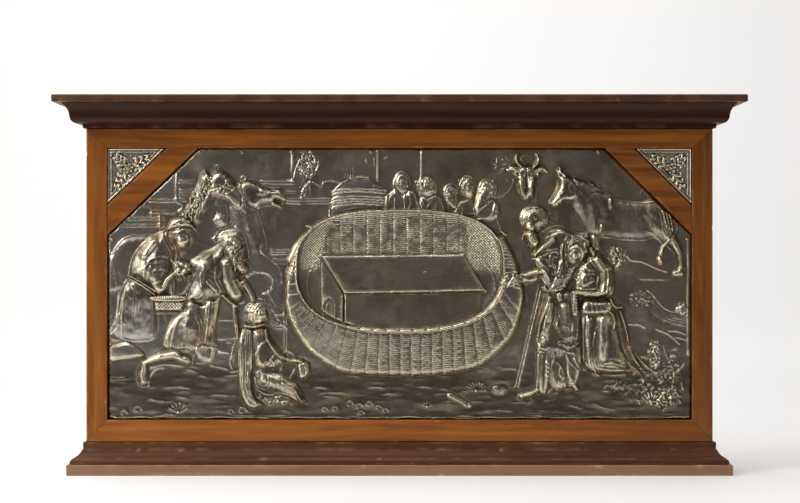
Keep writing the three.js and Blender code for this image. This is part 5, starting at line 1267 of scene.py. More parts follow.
def kneeling_girl(r):
    """The girl who kneels at the right, her head bent over the tassel in her hands."""
    r.form([(160, 138), (170, 142), (184, 141), (190, 128), (194, 112), (199, 98), (196, 90), (176, 89),
            (163, 93), (160, 110)], 4.6, 8)
    r.limb((178, 134, 7.6, 8), (178, 116, 7.6, 8.4), (177.4, 102, 6.6, 7.2), crown=2.3)
    r.limb((165.4, 134, 4, 6), (165, 116, 4, 5.8), (166, 100, 4, 5), folds=3, fold=0.4, crown=2)
    r.lines([[(160.4, 140), (160.4, 118), (161, 97)], [(164, 138), (163, 124), (164.6, 108), (166, 96),
             (172, 88)], [(172.6, 128), (169.8, 118), (169.4, 104), (171.4, 95), (175, 88.6)],
             [(167.6, 136), (167, 122), (167.6, 104), (170, 92), (174.4, 86)],
             [(162, 98), (166, 93), (172, 89)], [(161, 92), (167, 89.4), (174, 86)],
             [(171, 124), (170.8, 112), (171.6, 100)]], 0.65, 0.85)
    for k in range(7):
        r.line([(186 + 1.2 * k, 126 - 3 * k), (184.6 + 1.6 * k, 112 - 2 * k), (184 + 2 * k, 100)], 0.5,
               0.3)
    r.limb((180, 96.4, 1.6, 6.4), (186, 97, 2.6, 7.4), (192, 95.6, 2.4, 7.2), (197, 94, 1.4, 6.4),
           crown=1.9, groove=0.2)
    r.line([(175.6, 93.6), (184, 92.2), (197, 91.6)], 1.0, -1.2)
    r.lines([[(174, 92), (180, 90.4), (190, 90), (202, 91)], [(176, 88), (186, 86.6), (198, 87)]], 0.6,
            0.6)
    r.form([(160, 151.6), (172, 152), (185, 151), (184, 140), (160, 139)], 6.4, 5)
    r.lines([[(160, 151.8), (172, 151.2), (184, 152)], [(160, 139.2), (170, 138.6), (184, 141)],
             [(168, 150), (168.4, 142)], [(172, 150), (172.4, 141)], [(164, 150), (164.2, 142)]], 0.65,
             0.8)
    r.form([(157, 184), (163, 191), (170, 194), (178, 191.4), (184, 185), (187.4, 175), (188, 163),
            (183.4, 154.4), (172, 152.4), (160, 155), (153.6, 160), (152.6, 170)], 5.6, 11)
    r.limb((173, 187, 6, 7.4), (179.6, 178, 7, 8.6), (180, 165, 7, 8.6), (177, 159, 5, 8.2), crown=2.0)
    r.lines([[(168, 194.6), (172, 194), (178, 192), (184, 186.4), (187, 176), (187.4, 166), (185.4, 157)],
             [(160, 186), (166, 189), (172, 190)], [(174, 172), (172.6, 166), (173, 162)],
             [(185.6, 178), (185.8, 168), (184, 160)]], 0.65, 0.7)
    r.limb((181.6, 179.6, 1.2, 9.9), (182.6, 171, 1.7, 9.9), (181.6, 163, 1.5, 9.8), (181, 159, 1.1, 9.4),
           crown=1.8, groove=0.6)
    r.line([(163, 188), (169, 183), (172, 174), (171.6, 165)], 1.7, -1.1)
    r.lines([[(162, 184), (166, 178), (167, 170)], [(159, 182), (162, 176), (163, 170)]], 0.8, 0.5)
    r.form([(159, 176), (166, 175.6), (171, 172), (168, 165), (160, 162), (157, 168)], 6.4, 4, groove=0.3)
    r.lines([[(160, 176), (164, 174), (169, 175.4)], [(162, 165), (166, 168), (170, 169)],
             [(158, 188), (163, 183.6), (167, 186), (171, 182)], [(160, 183), (165, 179), (170, 178)]],
             0.8, 0.8)
    r.limb((152, 159, 2.8, 6.6), (162, 158, 3.6, 7.6), (172, 157.4, 4.2, 8.2), (180, 159.4, 4.2, 8.4),
           crown=2.1)
    r.lines([[(154, 162.6), (163, 162), (171, 162.6)],
             [(155, 155.4), (164, 153.6), (174, 152.8), (181, 154.4),
             (185.6, 158.6)]], 0.7, 0.8)
    r.curls((154, 176), (6, 7), 3, 0.65, 161)
    r.curls((154, 166), (5, 4), 2.6, 0.6, 165)
    r.oval(155.4, 195.4, 11.4, 12.2, 10.2, -12, crown=2.6)
    r.oval(153.0, 190.6, 5.8, 7.0, 10.8, -16, groove=0.6)
    r.line([(144.6, 190), (145, 199), (149, 205.6), (157, 208), (164.6, 203.6), (167.4, 195),
            (164.6, 187)], 0.8, 1.1)
    r.line([(149, 196.6), (153, 199), (157.6, 198), (160, 192), (158.6, 186)], 0.8, 0.8)
    r.strands([(147, 206), (145.4, 198), (146, 187)], [2.4, 2.4, 1.6], 4, 0.8, 162, 0.3)
    r.strands([(151, 206), (158, 206), (163.6, 200), (165, 190)], [2.4, 3.6, 3.6, 2.6], 7, 0.8, 163, 0.5)
    r.limb((149.4, 201, 1.5, 10.8), (151.4, 203.8, 1.6, 10.4), groove=0.3, crown=1.8)
    r.limb((161.4, 198.4, 1.4, 10.8), (162, 202, 1.4, 10.4), groove=0.3, crown=1.8)
    r.limb((160.6, 206, 1.2, 8.4), (165, 203.6, 1.4, 8.4), groove=0.3, crown=1.8)
    r.limb((167, 197, 2.4, 7), (169.6, 192.6, 2.6, 7), groove=0.3)
    r.lines([[(170, 200), (174, 196), (176, 201)], [(175, 194), (181, 192)]], 0.6, 0.6)
    face(r, 153.6, 191, 8, -1, 16)
    r.limb((152.8, 157, 3, 6.8), (153.6, 148, 3.2, 6.2), (154, 141, 2.8, 5), crown=2)
    for k in range(6):
        for side in (-1, 1):
            r.oval(153.4 + 1.5 * side, 155.6 - 2.6 * k, 1.0, 0.9, 7.2, groove=0.5)
    r.limb((184.6, 153, 1.3, 6), (186.6, 148, 1.8, 7), (189.6, 145.6, 2.0, 7), (195, 146, 1.3, 6),
           crown=1.9, groove=0.3)
    r.limb((183, 143, 1.1, 6.4), (186.4, 139, 2.0, 7.6), (188, 133, 1.9, 7.6), (187.6, 127, 1.1, 6.6),
           crown=1.8, groove=0.3)
    r.limb((193, 142, 1.5, 6.2), (196, 134, 1.7, 6), (198.6, 124, 1.3, 5.2), (200, 117, 1.0, 4.6),
           crown=1.8)
    r.lines([[(191, 144), (192, 136), (194.6, 127)],
             [(195, 143), (198, 133), (200, 120), (203, 110), (209, 101), (217, 94), (223, 89),
              (227.6, 83)],
             [(193, 140), (196.4, 128), (199.6, 116), (203, 104)], [(206, 106), (212, 98), (218, 92)]],
             0.7, 0.85)
    r.limb((202, 108, 1.2, 5), (205, 101, 1.8, 5.6), (209.6, 94.6, 1.2, 5), crown=1.8)
    r.limb((202, 94.6, 1.2, 5), (206, 91.6, 1.9, 5.8), (210.6, 87.4, 1.3, 5), crown=1.8)
    r.lines([[(210, 90), (214, 89.6), (217, 88)], [(198, 100), (204, 95)]], 0.6, 0.7)
    r.strands([(189, 128), (192, 112), (196, 98)], [3, 5, 5], 7, 0.25, 164, 0.4)
    for spot in ((182.4, 171, 2.2, 11, 0, 0.7), (184, 136, 4.6, 8, 20, 0.6),
                 (190, 95.6, 8, 2.4, -6, 0.8), (206, 91, 5, 2.4, -40, 0.7),
                 (150, 204, 3, 3, 0, 0.5), (163, 202, 2.6, 3.4, 0, 0.4),
                 (187, 147, 4, 3, 0, 0.4), (205, 101, 2, 6, 30, 0.4)):
        r.highlight_spot(*spot)


def figures(r):
    """Lays everything on the sheet from back to front; later figures cover earlier ones."""
    background(r)
    right_country(r)
    r.h *= COUNTRY_DEPTH
    ground(r)
    for living in (camel, horse, cow, ox):
        r.begin()
        living(r)
        r.end(groove=0.1, lip=0.14)
    r.begin()
    rim_people(r)
    r.end(groove=0.1, lip=0.25, scale=0.55, hammer=0.12)
    for part in (hull, ark_inside, house, rim, trestle):
        part(r)
    for person in (stooping_woman, kneeling_man, cloaked_child, old_man, child_in_tunic, kneeling_girl):
        r.begin()
        person(r)
        r.end(groove=0.6 if person is kneeling_girl else 0.25)


# ---------------------------------------------------------------- meshes from height fields

def sample(field, relief, x, z):
    """Field values at points, between the raster's cells."""
    u = np.clip((x - relief.x[0]) / relief.pitch, 0, len(relief.x) - 1.001)
    v = np.clip((z - relief.z[0]) / relief.pitch, 0, len(relief.z) - 1.001)
    i, j = u.astype(int), v.astype(int)
    fu, fv = u - i, v - j
    return ((field[j, i] * (1 - fu) + field[j, i + 1] * fu) * (1 - fv)
            + (field[j + 1, i] * (1 - fu) + field[j + 1, i + 1] * fu) * fv)


def new_object(name, verts, faces, material):
    """A mesh object with one material; the points are in millimetres."""
    mesh = bpy.data.meshes.new(name)
    mesh.from_pydata(np.asarray(verts) * MM, [], faces)
    mesh.update()
    obj = bpy.data.objects.new(name, mesh)
    bpy.context.collection.objects.link(obj)
    mesh.materials.append(material)
    return obj


def turn_out(obj):
    """Points every face out of a closed mesh."""
    bm = bmesh.new()
    bm.from_mesh(obj.data)
    bmesh.ops.recalc_face_normals(bm, faces=bm.faces)
    bm.to_mesh(obj.data)
    bm.free()


def smooth_below(obj, degrees):
    """Smooth shading, but sharp where faces meet at more than this angle."""
    bm = bmesh.new()
    bm.from_mesh(obj.data)
    limit = math.radians(degrees)
    for f in bm.faces:
        f.smooth = True
    for e in bm.edges:
        e.smooth = len(e.link_faces) == 2 and e.calc_face_angle(0) < limit
    bm.to_mesh(obj.data)
    bm.free()


def write_attribute(obj, name, values):
    """Keeps one number at each point, for the materials."""
    layer = obj.data.attributes.new(name, "FLOAT", "POINT")
    layer.data.foreach_set("value", np.asarray(values, np.float32))


def columns_mesh(name, relief, x_stops, low, high, rows, material, share=1):
    """A sheet whose columns run from low(x) to high(x), closed by a flat back.

    share is the part of the faces that is kept where the sheet is thinned out.
    """
    v = np.linspace(0, 1, rows)[:, None]
    x = np.broadcast_to(x_stops[None, :], (rows, len(x_stops)))
    z = low(x_stops)[None, :] + (high(x_stops) - low(x_stops))[None, :] * v
    y = SHEET_FRONT - sample(relief.h, relief, x, z)
    top = np.stack([x, y, z], -1).reshape(-1, 3)
    cols = len(x_stops)
    grid = np.arange(rows * cols).reshape(rows, cols)
    a, b, c, d = grid[:-1, :-1], grid[:-1, 1:], grid[1:, 1:], grid[1:, :-1]
    quads = np.stack([a, b, c, d], -1).reshape(-1, 4)
    obj = new_object(name, top, quads, material)
    if share < 1:
        modifier = obj.modifiers.new("thin out", "DECIMATE")
        modifier.ratio = share
        apply_modifiers(obj)
    close_back(obj, SHEET_BACK)
    return obj


def apply_modifiers(obj):
    """Makes the modifiers' result the mesh."""
    graph = bpy.context.evaluated_depsgraph_get()
    mesh = bpy.data.meshes.new_from_object(obj.evaluated_get(graph))
    old = obj.data
    obj.modifiers.clear()
    obj.data = mesh
    bpy.data.meshes.remove(old)


def close_back(obj, back):
    """Turns an open sheet's edge back to a plane, and closes it there."""
    bm = bmesh.new()
    bm.from_mesh(obj.data)
    border = [e for e in bm.edges if e.is_boundary]
    made = bmesh.ops.extrude_edge_only(bm, edges=border)["geom"]
    for v in made:
        if isinstance(v, bmesh.types.BMVert):
            v.co.y = back * MM
    rim_edges = [e for e in made if isinstance(e, bmesh.types.BMEdge) and e.is_boundary]
    bmesh.ops.contextual_create(bm, geom=rim_edges)
    bmesh.ops.triangulate(bm, faces=[f for f in bm.faces if len(f.verts) > 4])
    bmesh.ops.recalc_face_normals(bm, faces=bm.faces)
    bm.to_mesh(obj.data)
    bm.free()


def surface_fields(relief):
    """How sunk and how worn each place is, from the heights around it, with the painted highlights added.
    """
    fine = blur(relief.h, 0.7 / relief.pitch)
    wide = blur(relief.h, 2.4 / relief.pitch)
    sunk = 1.3 * np.clip(fine - relief.h, 0, 0.3) + 0.12 * np.clip(wide - relief.h, 0, 1.2)
    worn_and_highlit = np.clip(1.2 * (relief.h - fine) + 0.2 * (relief.h - wide), 0, 1) + relief.wear_and_highlight
    return sunk, worn_and_highlit


def dress_sheet(obj, relief):
    """Keeps at each point how sunk and how worn the metal is, its painted highlights and its painted
    shade.
    """
    points = np.empty(len(obj.data.vertices) * 3)
    obj.data.vertices.foreach_get("co", points)
    points = points.reshape(-1, 3) / MM
    sunk, worn_and_highlit = surface_fields(relief)
    write_attribute(obj, "sunk", sample(sunk, relief, points[:, 0], points[:, 2]))
    write_attribute(obj, "worn_and_highlit", sample(worn_and_highlit, relief, points[:, 0], points[:, 2]))
    write_attribute(obj, "painted_shade", sample(relief.painted_shade, relief, points[:, 0], points[:, 2]))


# ---------------------------------------------------------------- materials

def nodes_of(name):
    """A new material, its node tree and its shader."""
    material = bpy.data.materials.new(name)
    material.use_nodes = True
    tree = material.node_tree
    return material, tree, tree.nodes["Principled BSDF"]


def add_node(tree, kind, **values):
    """A node with the given settings or input values."""
    node = tree.nodes.new(kind)
    for key, value in values.items():
        if hasattr(node, key):
            setattr(node, key, value)
        else:
            node.inputs[key].default_value = value
    return node


def mix_colors(tree, factor, a, b):
    """A colour mix; a and b are colours or sockets."""
    node = add_node(tree, "ShaderNodeMix", data_type="RGBA")
    for index, value in ((0, factor), (6, a), (7, b)):
        socket = node.inputs[index]
        if isinstance(value, bpy.types.NodeSocket):
            tree.links.new(value, socket)
        elif index == 0:
            socket.default_value = value
        else:
            socket.default_value = (*value, 1)
    return node.outputs[2]


def ramp(tree, source, stops):
    """Maps a value from stops[0], stops[1] to stops[2], stops[3], and holds it there."""
    node = tree.nodes.new("ShaderNodeMapRange")
    node.clamp = True
    node.inputs["From Min"].default_value, node.inputs["From Max"].default_value = stops[:2]
    node.inputs["To Min"].default_value, node.inputs["To Max"].default_value = stops[2:]
    tree.links.new(source, node.inputs["Value"])
    return node.outputs[0]


def noise(tree, vector, scale, detail=3.0, roughness=0.5, distortion=0.0):
    """Fractal noise, from 0 to 1."""
    node = add_node(tree, "ShaderNodeTexNoise", Scale=scale, Detail=detail, Roughness=roughness,
                    Distortion=distortion)
    tree.links.new(vector, node.inputs["Vector"])
    return node.outputs["Fac"]


def attribute(tree, name):
    """A value that the mesh keeps at its points."""
    return add_node(tree, "ShaderNodeAttribute", attribute_name=name).outputs["Fac"]


def object_coordinates(tree, scale=(1, 1, 1), angle=0.0):
    source = tree.nodes.new("ShaderNodeTexCoord")
    mapping = tree.nodes.new("ShaderNodeMapping")
    mapping.inputs["Scale"].default_value = scale
    mapping.inputs["Rotation"].default_value = (0, angle, 0)
    tree.links.new(source.outputs["Object"], mapping.inputs["Vector"])
    return mapping.outputs[0]


METAL_GREY = (0.40, 0.362, 0.31)
METAL_BROWN = (0.455, 0.375, 0.255)
METAL_COOL = (0.52, 0.50, 0.47)
METAL_BRIGHT = (0.62, 0.57, 0.47)
METAL_PALE = (0.62, 0.56, 0.46)
METAL_WORN_AND_HIGHLIT = (0.76, 0.67, 0.49)
TARNISH_DARK = (0.16, 0.132, 0.092)
TARNISH_TAN = (0.50, 0.36, 0.21)
PAINTED_SHADE_DARK = (0.15, 0.125, 0.088)
TARNISH_HOLLOW = (0.13, 0.098, 0.055)


def metal_material(name, field_tone=0.0):
    """Tarnished silver-coloured sheet: brown in the hollows, rubbed pale on the edges, with painted
    highlights, painted shade and a painted reflection.

    field_tone brightens the whole piece, from 0 to 1.
    """
    material, tree, shader = nodes_of(name)
    place = object_coordinates(tree)
    patches = noise(tree, place, 11, 4)
    clouds = noise(tree, place, 38, 5)
    grit = noise(tree, place, 900, 3)
    cool = mix_colors(tree, ramp(tree, patches, (0.38, 0.62, 0, 1)), METAL_GREY, METAL_BROWN)
    parts = add_node(tree, "ShaderNodeSeparateXYZ")
    tree.links.new(place, parts.inputs[0])
    # Painted reflection: the metal is paler and cooler towards the left.
    cool = mix_colors(tree, ramp(tree, parts.outputs["X"], (-0.22, 0.04, 0.85, 0)), cool, METAL_COOL)
    body = mix_colors(tree, ramp(tree, clouds, (0.42, 0.64, 0, 0.7)), cool, TARNISH_DARK)
    pale = noise(tree, place, 27, 6, 0.66, 0.3)
    body = mix_colors(tree, ramp(tree, pale, (0.52, 0.68, 0, 0.75)), body, METAL_PALE)
    tan = noise(tree, place, 21, 5, 0.62, 0.4)
    body = mix_colors(tree, ramp(tree, tan, (0.54, 0.68, 0, 0.8)), body, TARNISH_TAN)
    body = mix_colors(tree, field_tone, body, METAL_BRIGHT)
    # Painted shade on the raised figures and on the ground band.
    body = mix_colors(tree, ramp(tree, attribute(tree, "painted_shade"), (0, 1.35, 0, 0.86)), body, PAINTED_SHADE_DARK)
    stained = mix_colors(tree, ramp(tree, attribute(tree, "sunk"), (0.03, 0.5, 0, 0.85)), body,
                         TARNISH_HOLLOW)
    # Worn ridges and painted highlights lighten the colour.
    rubbed = mix_colors(tree, ramp(tree, attribute(tree, "worn_and_highlit"), (0.05, 0.5, 0, 0.9)), stained,
                        METAL_WORN_AND_HIGHLIT)
    tree.links.new(rubbed, shader.inputs["Base Color"])
    shader.inputs["Metallic"].default_value = 1.0
    rough = add_node(tree, "ShaderNodeMath", operation="ADD")
    tree.links.new(ramp(tree, clouds, (0.3, 0.7, 0.2, 0.34)), rough.inputs[0])
    tree.links.new(ramp(tree, attribute(tree, "sunk"), (0.0, 0.6, 0, 0.2)), rough.inputs[1])
    tree.links.new(rough.outputs[0], shader.inputs["Roughness"])
    bump = add_node(tree, "ShaderNodeBump", Strength=0.24, Distance=0.0003)
    tree.links.new(grit, bump.inputs["Height"])
    strokes = noise(tree, object_coordinates(tree, (900, 900, 210)), 1.0, 3, 0.6, 0.8)
    chased = add_node(tree, "ShaderNodeBump", Strength=0.3, Distance=0.0004)
    tree.links.new(strokes, chased.inputs["Height"])
    tree.links.new(bump.outputs[0], chased.inputs["Normal"])
    tree.links.new(chased.outputs[0], shader.inputs["Normal"])
    return material


def wood_material(name, light, dark, raw, grain_axis, gloss=0.4, angle=0.0, sheen=0.3):
    """Polished mahogany; the grain runs along X, Y or Z, or along X turned by an angle."""
    material, tree, shader = nodes_of(name)
    scale = {"X": (4, 60, 60), "Y": (60, 4, 60), "Z": (60, 60, 4)}[grain_axis]
    place = object_coordinates(tree, scale, angle)
    figure = noise(tree, place, 1.6, 5, 0.62, 0.6)
    pores = noise(tree, object_coordinates(tree, tuple(4 * s for s in scale), angle), 3.2, 3, 0.7)
    wide = noise(tree, object_coordinates(tree), 7, 3)
    color = mix_colors(tree, ramp(tree, figure, (0.38, 0.64, 0, 1)), dark, light)
    color = mix_colors(tree, ramp(tree, wide, (0.35, 0.7, 0.0, 0.5)), color, dark)
    fleck = mix_colors(tree, ramp(tree, pores, (0.60, 0.74, 0, 0.55)), color,
                       tuple(0.35 * c for c in dark))
    worn = mix_colors(tree, ramp(tree, attribute(tree, "wear"), (0.0, 1.0, 0, 1)), fleck, raw)
    tree.links.new(worn, shader.inputs["Base Color"])
    tree.links.new(ramp(tree, wide, (0.3, 0.7, gloss - 0.06, gloss + 0.1)), shader.inputs["Roughness"])
    shader.inputs["Specular IOR Level"].default_value = sheen
    bump = add_node(tree, "ShaderNodeBump", Strength=0.2, Distance=0.0004)
    tree.links.new(pores, bump.inputs["Height"])
    tree.links.new(bump.outputs[0], shader.inputs["Normal"])
    return material


# ---------------------------------------------------------------- wooden pieces

def rounded(corners, radius=0.5, step=1.8):
    """A closed profile with rounded corners, and points at most a step apart."""
    p = np.asarray(corners, float)
    out = []
    for before, here, after in zip(np.roll(p, 1, 0), p, np.roll(p, -1, 0)):
        to_before = (before - here) / np.linalg.norm(before - here)
        to_after = (after - here) / np.linalg.norm(after - here)
        r = min(radius, 0.4 * np.linalg.norm(before - here), 0.4 * np.linalg.norm(after - here))
        a, b = here + to_before * r, here + to_after * r
        for t in (0, 0.25, 0.5, 0.75, 1):
            out.append((1 - t) ** 2 * a + 2 * t * (1 - t) * here + t ** 2 * b)
    filled = []
    for a, b in zip(out, out[1:] + out[:1]):
        count = max(int(np.linalg.norm(b - a) / step), 1)
        filled += [a + (b - a) * k / count for k in range(count)]
    return np.array(filled), p


def edge_nearness(profile, corners, reach=1.5):
    """How near each profile point is to a corner, from 0 to 1 on the corner."""
    d = np.min(np.linalg.norm(profile[:, None, :] - corners[None, :, :], axis=2), axis=1)
    return np.clip(1 - d / reach, 0, 1)


def sweep(name, profile, corners, length, place, material, seed, chips=5, wear=0.3, step=2.0, tip=0.0):
    """A closed profile carried along a piece; place(u, v, t) puts it in space, t from 0 to 1."""
    rng = np.random.default_rng(seed)
    stations = np.linspace(0, 1, max(int(length / step), 2) + 1)
    if tip:
        stations = np.unique(np.concatenate([[0, 0.3 * tip / length, tip / length],
                                             stations, [1 - tip / length, 1 - 0.3 * tip / length, 1]]))
    near = edge_nearness(profile, corners)
    middle = profile.mean(0)
    inward = middle - profile
    inward /= np.maximum(np.linalg.norm(inward, axis=1), 1e-6)[:, None]
    depth = np.zeros((len(stations), len(profile)))
    for k in range(chips):
        at, size = rng.uniform(0, 1), rng.uniform(0.8, 3.2)
        corner = corners[rng.integers(len(corners))]
        close = np.clip(1 - np.linalg.norm(profile - corner, axis=1) / 2.2, 0, 1)
        bite = rng.uniform(0.25, 0.8) * np.exp(-((stations - at) * length / size) ** 2)
        depth = np.maximum(depth, bite[:, None] * close[None, :])
    u = profile[None, :, 0] + inward[None, :, 0] * depth
    v = profile[None, :, 1] + inward[None, :, 1] * depth
    if tip:
        run = np.minimum(stations, 1 - stations) * length
        inset = tip - np.sqrt(np.clip(tip ** 2 - np.clip(tip - run, 0, tip) ** 2, 0, None))
        low, high = profile.min(0), profile.max(0)
        u = np.clip(u, low[0] + inset[:, None], high[0] - inset[:, None])
        v = np.clip(v, low[1] + inset[:, None], high[1] - inset[:, None])
    t = np.broadcast_to(stations[:, None], u.shape)
    verts = np.stack(place(u, v, t), -1).reshape(-1, 3)
    count = len(profile)
    faces = []
    for i in range(len(stations) - 1):
        a, b = i * count, (i + 1) * count
        faces += [(a + k, a + (k + 1) % count, b + (k + 1) % count, b + k) for k in range(count)]
    faces.append(tuple(range(count)))
    faces.append(tuple(range(len(verts) - count, len(verts))))
    obj = new_object(name, verts, faces, material)
    turn_out(obj)
    smooth_below(obj, 38)
    rubbing = value_noise(t * length, np.broadcast_to(profile[None, :, 0] * 3, u.shape), 7, seed + 1, 1.5)
    fine = value_noise(t * length, np.broadcast_to(profile[None, :, 1] * 3, u.shape), 1.6, seed + 2, 1.5)
    amount = near[None, :] * np.clip(wear + 0.6 * rubbing + 0.35 * fine, 0, 1) + np.clip(depth * 2.2, 0,
                                                            1)
    write_attribute(obj, "wear", np.clip(amount, 0, 1).ravel())
    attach(obj, BODY)
    return obj


def frame_bars(left_wood, right_wood, level):
    """Four flat bars, mitred at the corners."""
    flat = FRONT + FRAME_THICK
    inner_x, outer_x = OPEN_RIGHT, HALF_WIDTH
    for side, name, upright in ((-1, "stile_left", left_wood), (1, "stile_right", right_wood)):
        profile, corners = rounded([(inner_x, FRONT), (outer_x, FRONT), (outer_x, flat),
                                    (inner_x, flat)], 0.6)

        def place(u, v, t, side=side):
            share = (u - inner_x) / (outer_x - inner_x)
            low = OPEN_BOTTOM + (FRAME_BOTTOM - OPEN_BOTTOM) * share + GAP
            high = OPEN_TOP + (FRAME_TOP - OPEN_TOP) * share - GAP
            return side * u, v, low + (high - low) * t
        bar = sweep(name + "_bar", profile, corners, FRAME_TOP - FRAME_BOTTOM, place, upright,
                    200 + side, 4, 0.12)
        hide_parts(name)
    for name, inner, outer in (("rail_top", OPEN_TOP, FRAME_TOP),
                               ("rail_bottom", OPEN_BOTTOM, FRAME_BOTTOM)):
        profile, corners = rounded([(inner, FRONT), (outer, FRONT), (outer, flat), (inner, flat)], 0.6)

        def place(u, v, t, inner=inner, outer=outer):
            share = (u - inner) / (outer - inner)
            half = OPEN_RIGHT + (HALF_WIDTH - OPEN_RIGHT) * share
            return (2 * t - 1) * half, v, u
        bar = sweep(name + "_bar", profile, corners, 2 * HALF_WIDTH, place, level, 205 + int(inner), 5,
                    0.12)
        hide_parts(name)


def brace(name, side, material, seed):
    """A slanted bar; its corners come from the CAD bar's own outline."""
    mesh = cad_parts[name].data
    points = np.unique(np.round(np.array([v.co[:] for v in mesh.vertices]) / MM, 3), axis=0)
    front = points[points[:, 1] < points[:, 1].mean()][:, [0, 2]]
    flat = front[np.argsort(front[:, 1])]
    foot = flat[:2][np.argsort(flat[:2, 1])]
    head = flat[2:]
    near_head, far_head = head[np.argsort(side * head[:, 0])]
    near_foot, far_foot = foot
    depth = points[:, 1].min(), points[:, 1].max()
    width, length = 19.0, 100.0
    profile, corners = rounded([(0, depth[0]), (width, depth[0]), (width, depth[1]), (0, depth[1])], 0.6)

    def place(u, v, t):
        s = u / width
        x = (near_foot[0] + (far_foot[0] - near_foot[0]) * s) * (1 - t) \
            + (near_head[0] + (far_head[0] - near_head[0]) * s) * t
        z = (near_foot[1] + (far_foot[1] - near_foot[1]) * s) * (1 - t) \
            + (near_head[1] + (far_head[1] - near_head[1]) * s) * t
        return x, v, z
    bar = sweep(name + "_bar", profile, corners, length, place, material, seed, 2, 0.12)
    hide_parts(name)


def bezier(a, b, c, steps=10):
    """Points along a quadratic curve from a to c."""
    t = np.linspace(0, 1, steps)[:, None]
    a, b, c = np.array(a), np.array(b), np.array(c)
    return ((1 - t) ** 2 * a + 2 * t * (1 - t) * b + t ** 2 * c).tolist()


def cornice_profile(back):
    """The cornice as (out, Z): a fillet, a cove and an ovolo up to the top board."""
    top = CORNICE_HIGH[2]
    return [[back, CORNICE_LOW[2]], [2.8, CORNICE_LOW[2]], [2.8, 306.2]] + \
        bezier((6.6, 306.4), (12.8, 306.8), (13.2, 313.4)) + \
        bezier((13.2, 313.4), (13.6, 319.2), (19.4, top))[1:] + [[back, top]]


def base_profile(back):
    """The base moulding as (out, Z): a bead, a hollow and a small step at the top."""
    low, high = FOOT_LOW[2], FOOT_HIGH[2]
    return [[back, low], [12.8, low]] + bezier((12.8, 11.2), (12.6, 13.4), (10.6, 14.2), 6) + \
        bezier((10.4, 14.6), (5.4, 16.8), (3.4, 21.6)) + [[2.6, 21.8], [2.6, high], [back, high]]


def sharp(corners):
    """The corners of a profile that turn by more than 30 degrees."""
    c = np.asarray(corners, float)
    before, after = c - np.roll(c, 1, 0), np.roll(c, -1, 0) - c
    turn = np.arctan2(before[:, 0] * after[:, 1] - before[:, 1] * after[:, 0], (before * after).sum(1))
    return c[np.abs(turn) > math.radians(30)]


def mouldings(kind, profile_of, level, across, seed, wear):
    """A moulding across the front and back along both sides, mitred at the corners."""
    profile, corners = rounded(profile_of(-FRAME_THICK), 0.25)
    corners = sharp(corners)

    def front(u, v, t):
        return (2 * t - 1) * (HALF_WIDTH + u - GAP), FRONT - u, v
    piece = sweep(kind + "_front_length", profile, corners, 2 * HALF_WIDTH, front, level, seed, 9, wear)
    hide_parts(kind + "_front")
    profile, corners = rounded(profile_of(GAP), 0.25)
    corners = sharp(corners)
    for side, name in ((-1, "left"), (1, "right")):
        def returned(u, v, t, side=side):
            corner = FRONT - u + GAP
            return side * (HALF_WIDTH + u), corner + t * (BACK - corner), v
        piece = sweep(f"{kind}_{name}_return", profile, corners, BACK - FRONT, returned, across,
                      seed + 7 + side, 3, wear)
        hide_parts(f"{kind}_{name}")


def flat_board(node, low, high, material, seed, wear, chips):
    """A plain board with rounded, chipped edges."""
    profile, corners = rounded([(low[1], low[2]), (high[1], low[2]), (high[1], high[2]),
                                (low[1], high[2])], 1.1, 2.2)

    def place(u, v, t):
        return low[0] + (high[0] - low[0]) * t, u, v
    board = sweep(node + "_board", profile, corners, high[0] - low[0], place, material, seed, chips, wear,
                  2.0, 1.1)
    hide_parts(node)


# ---------------------------------------------------------------- metal pieces

def top_limit(x):
    """The sheet's upper edge: level in the middle and slanting down under the braces."""
    braces = {s: node_box("brace_" + s) for s in ("left", "right")}
    left_low, left_high = braces["left"]
    right_low, right_high = braces["right"]
    left_slope = (left_high[2] - left_low[2]) / (left_high[0] - left_low[0])
    right_slope = (right_high[2] - right_low[2]) / (right_high[0] - right_low[0])
    gap = 1.0
    return np.minimum.reduce([
        np.full_like(x, OPEN_TOP - gap),
        left_low[2] - gap + (x - left_low[0] - gap) * left_slope,
        right_low[2] - gap + (right_high[0] - gap - x) * right_slope,
    ])


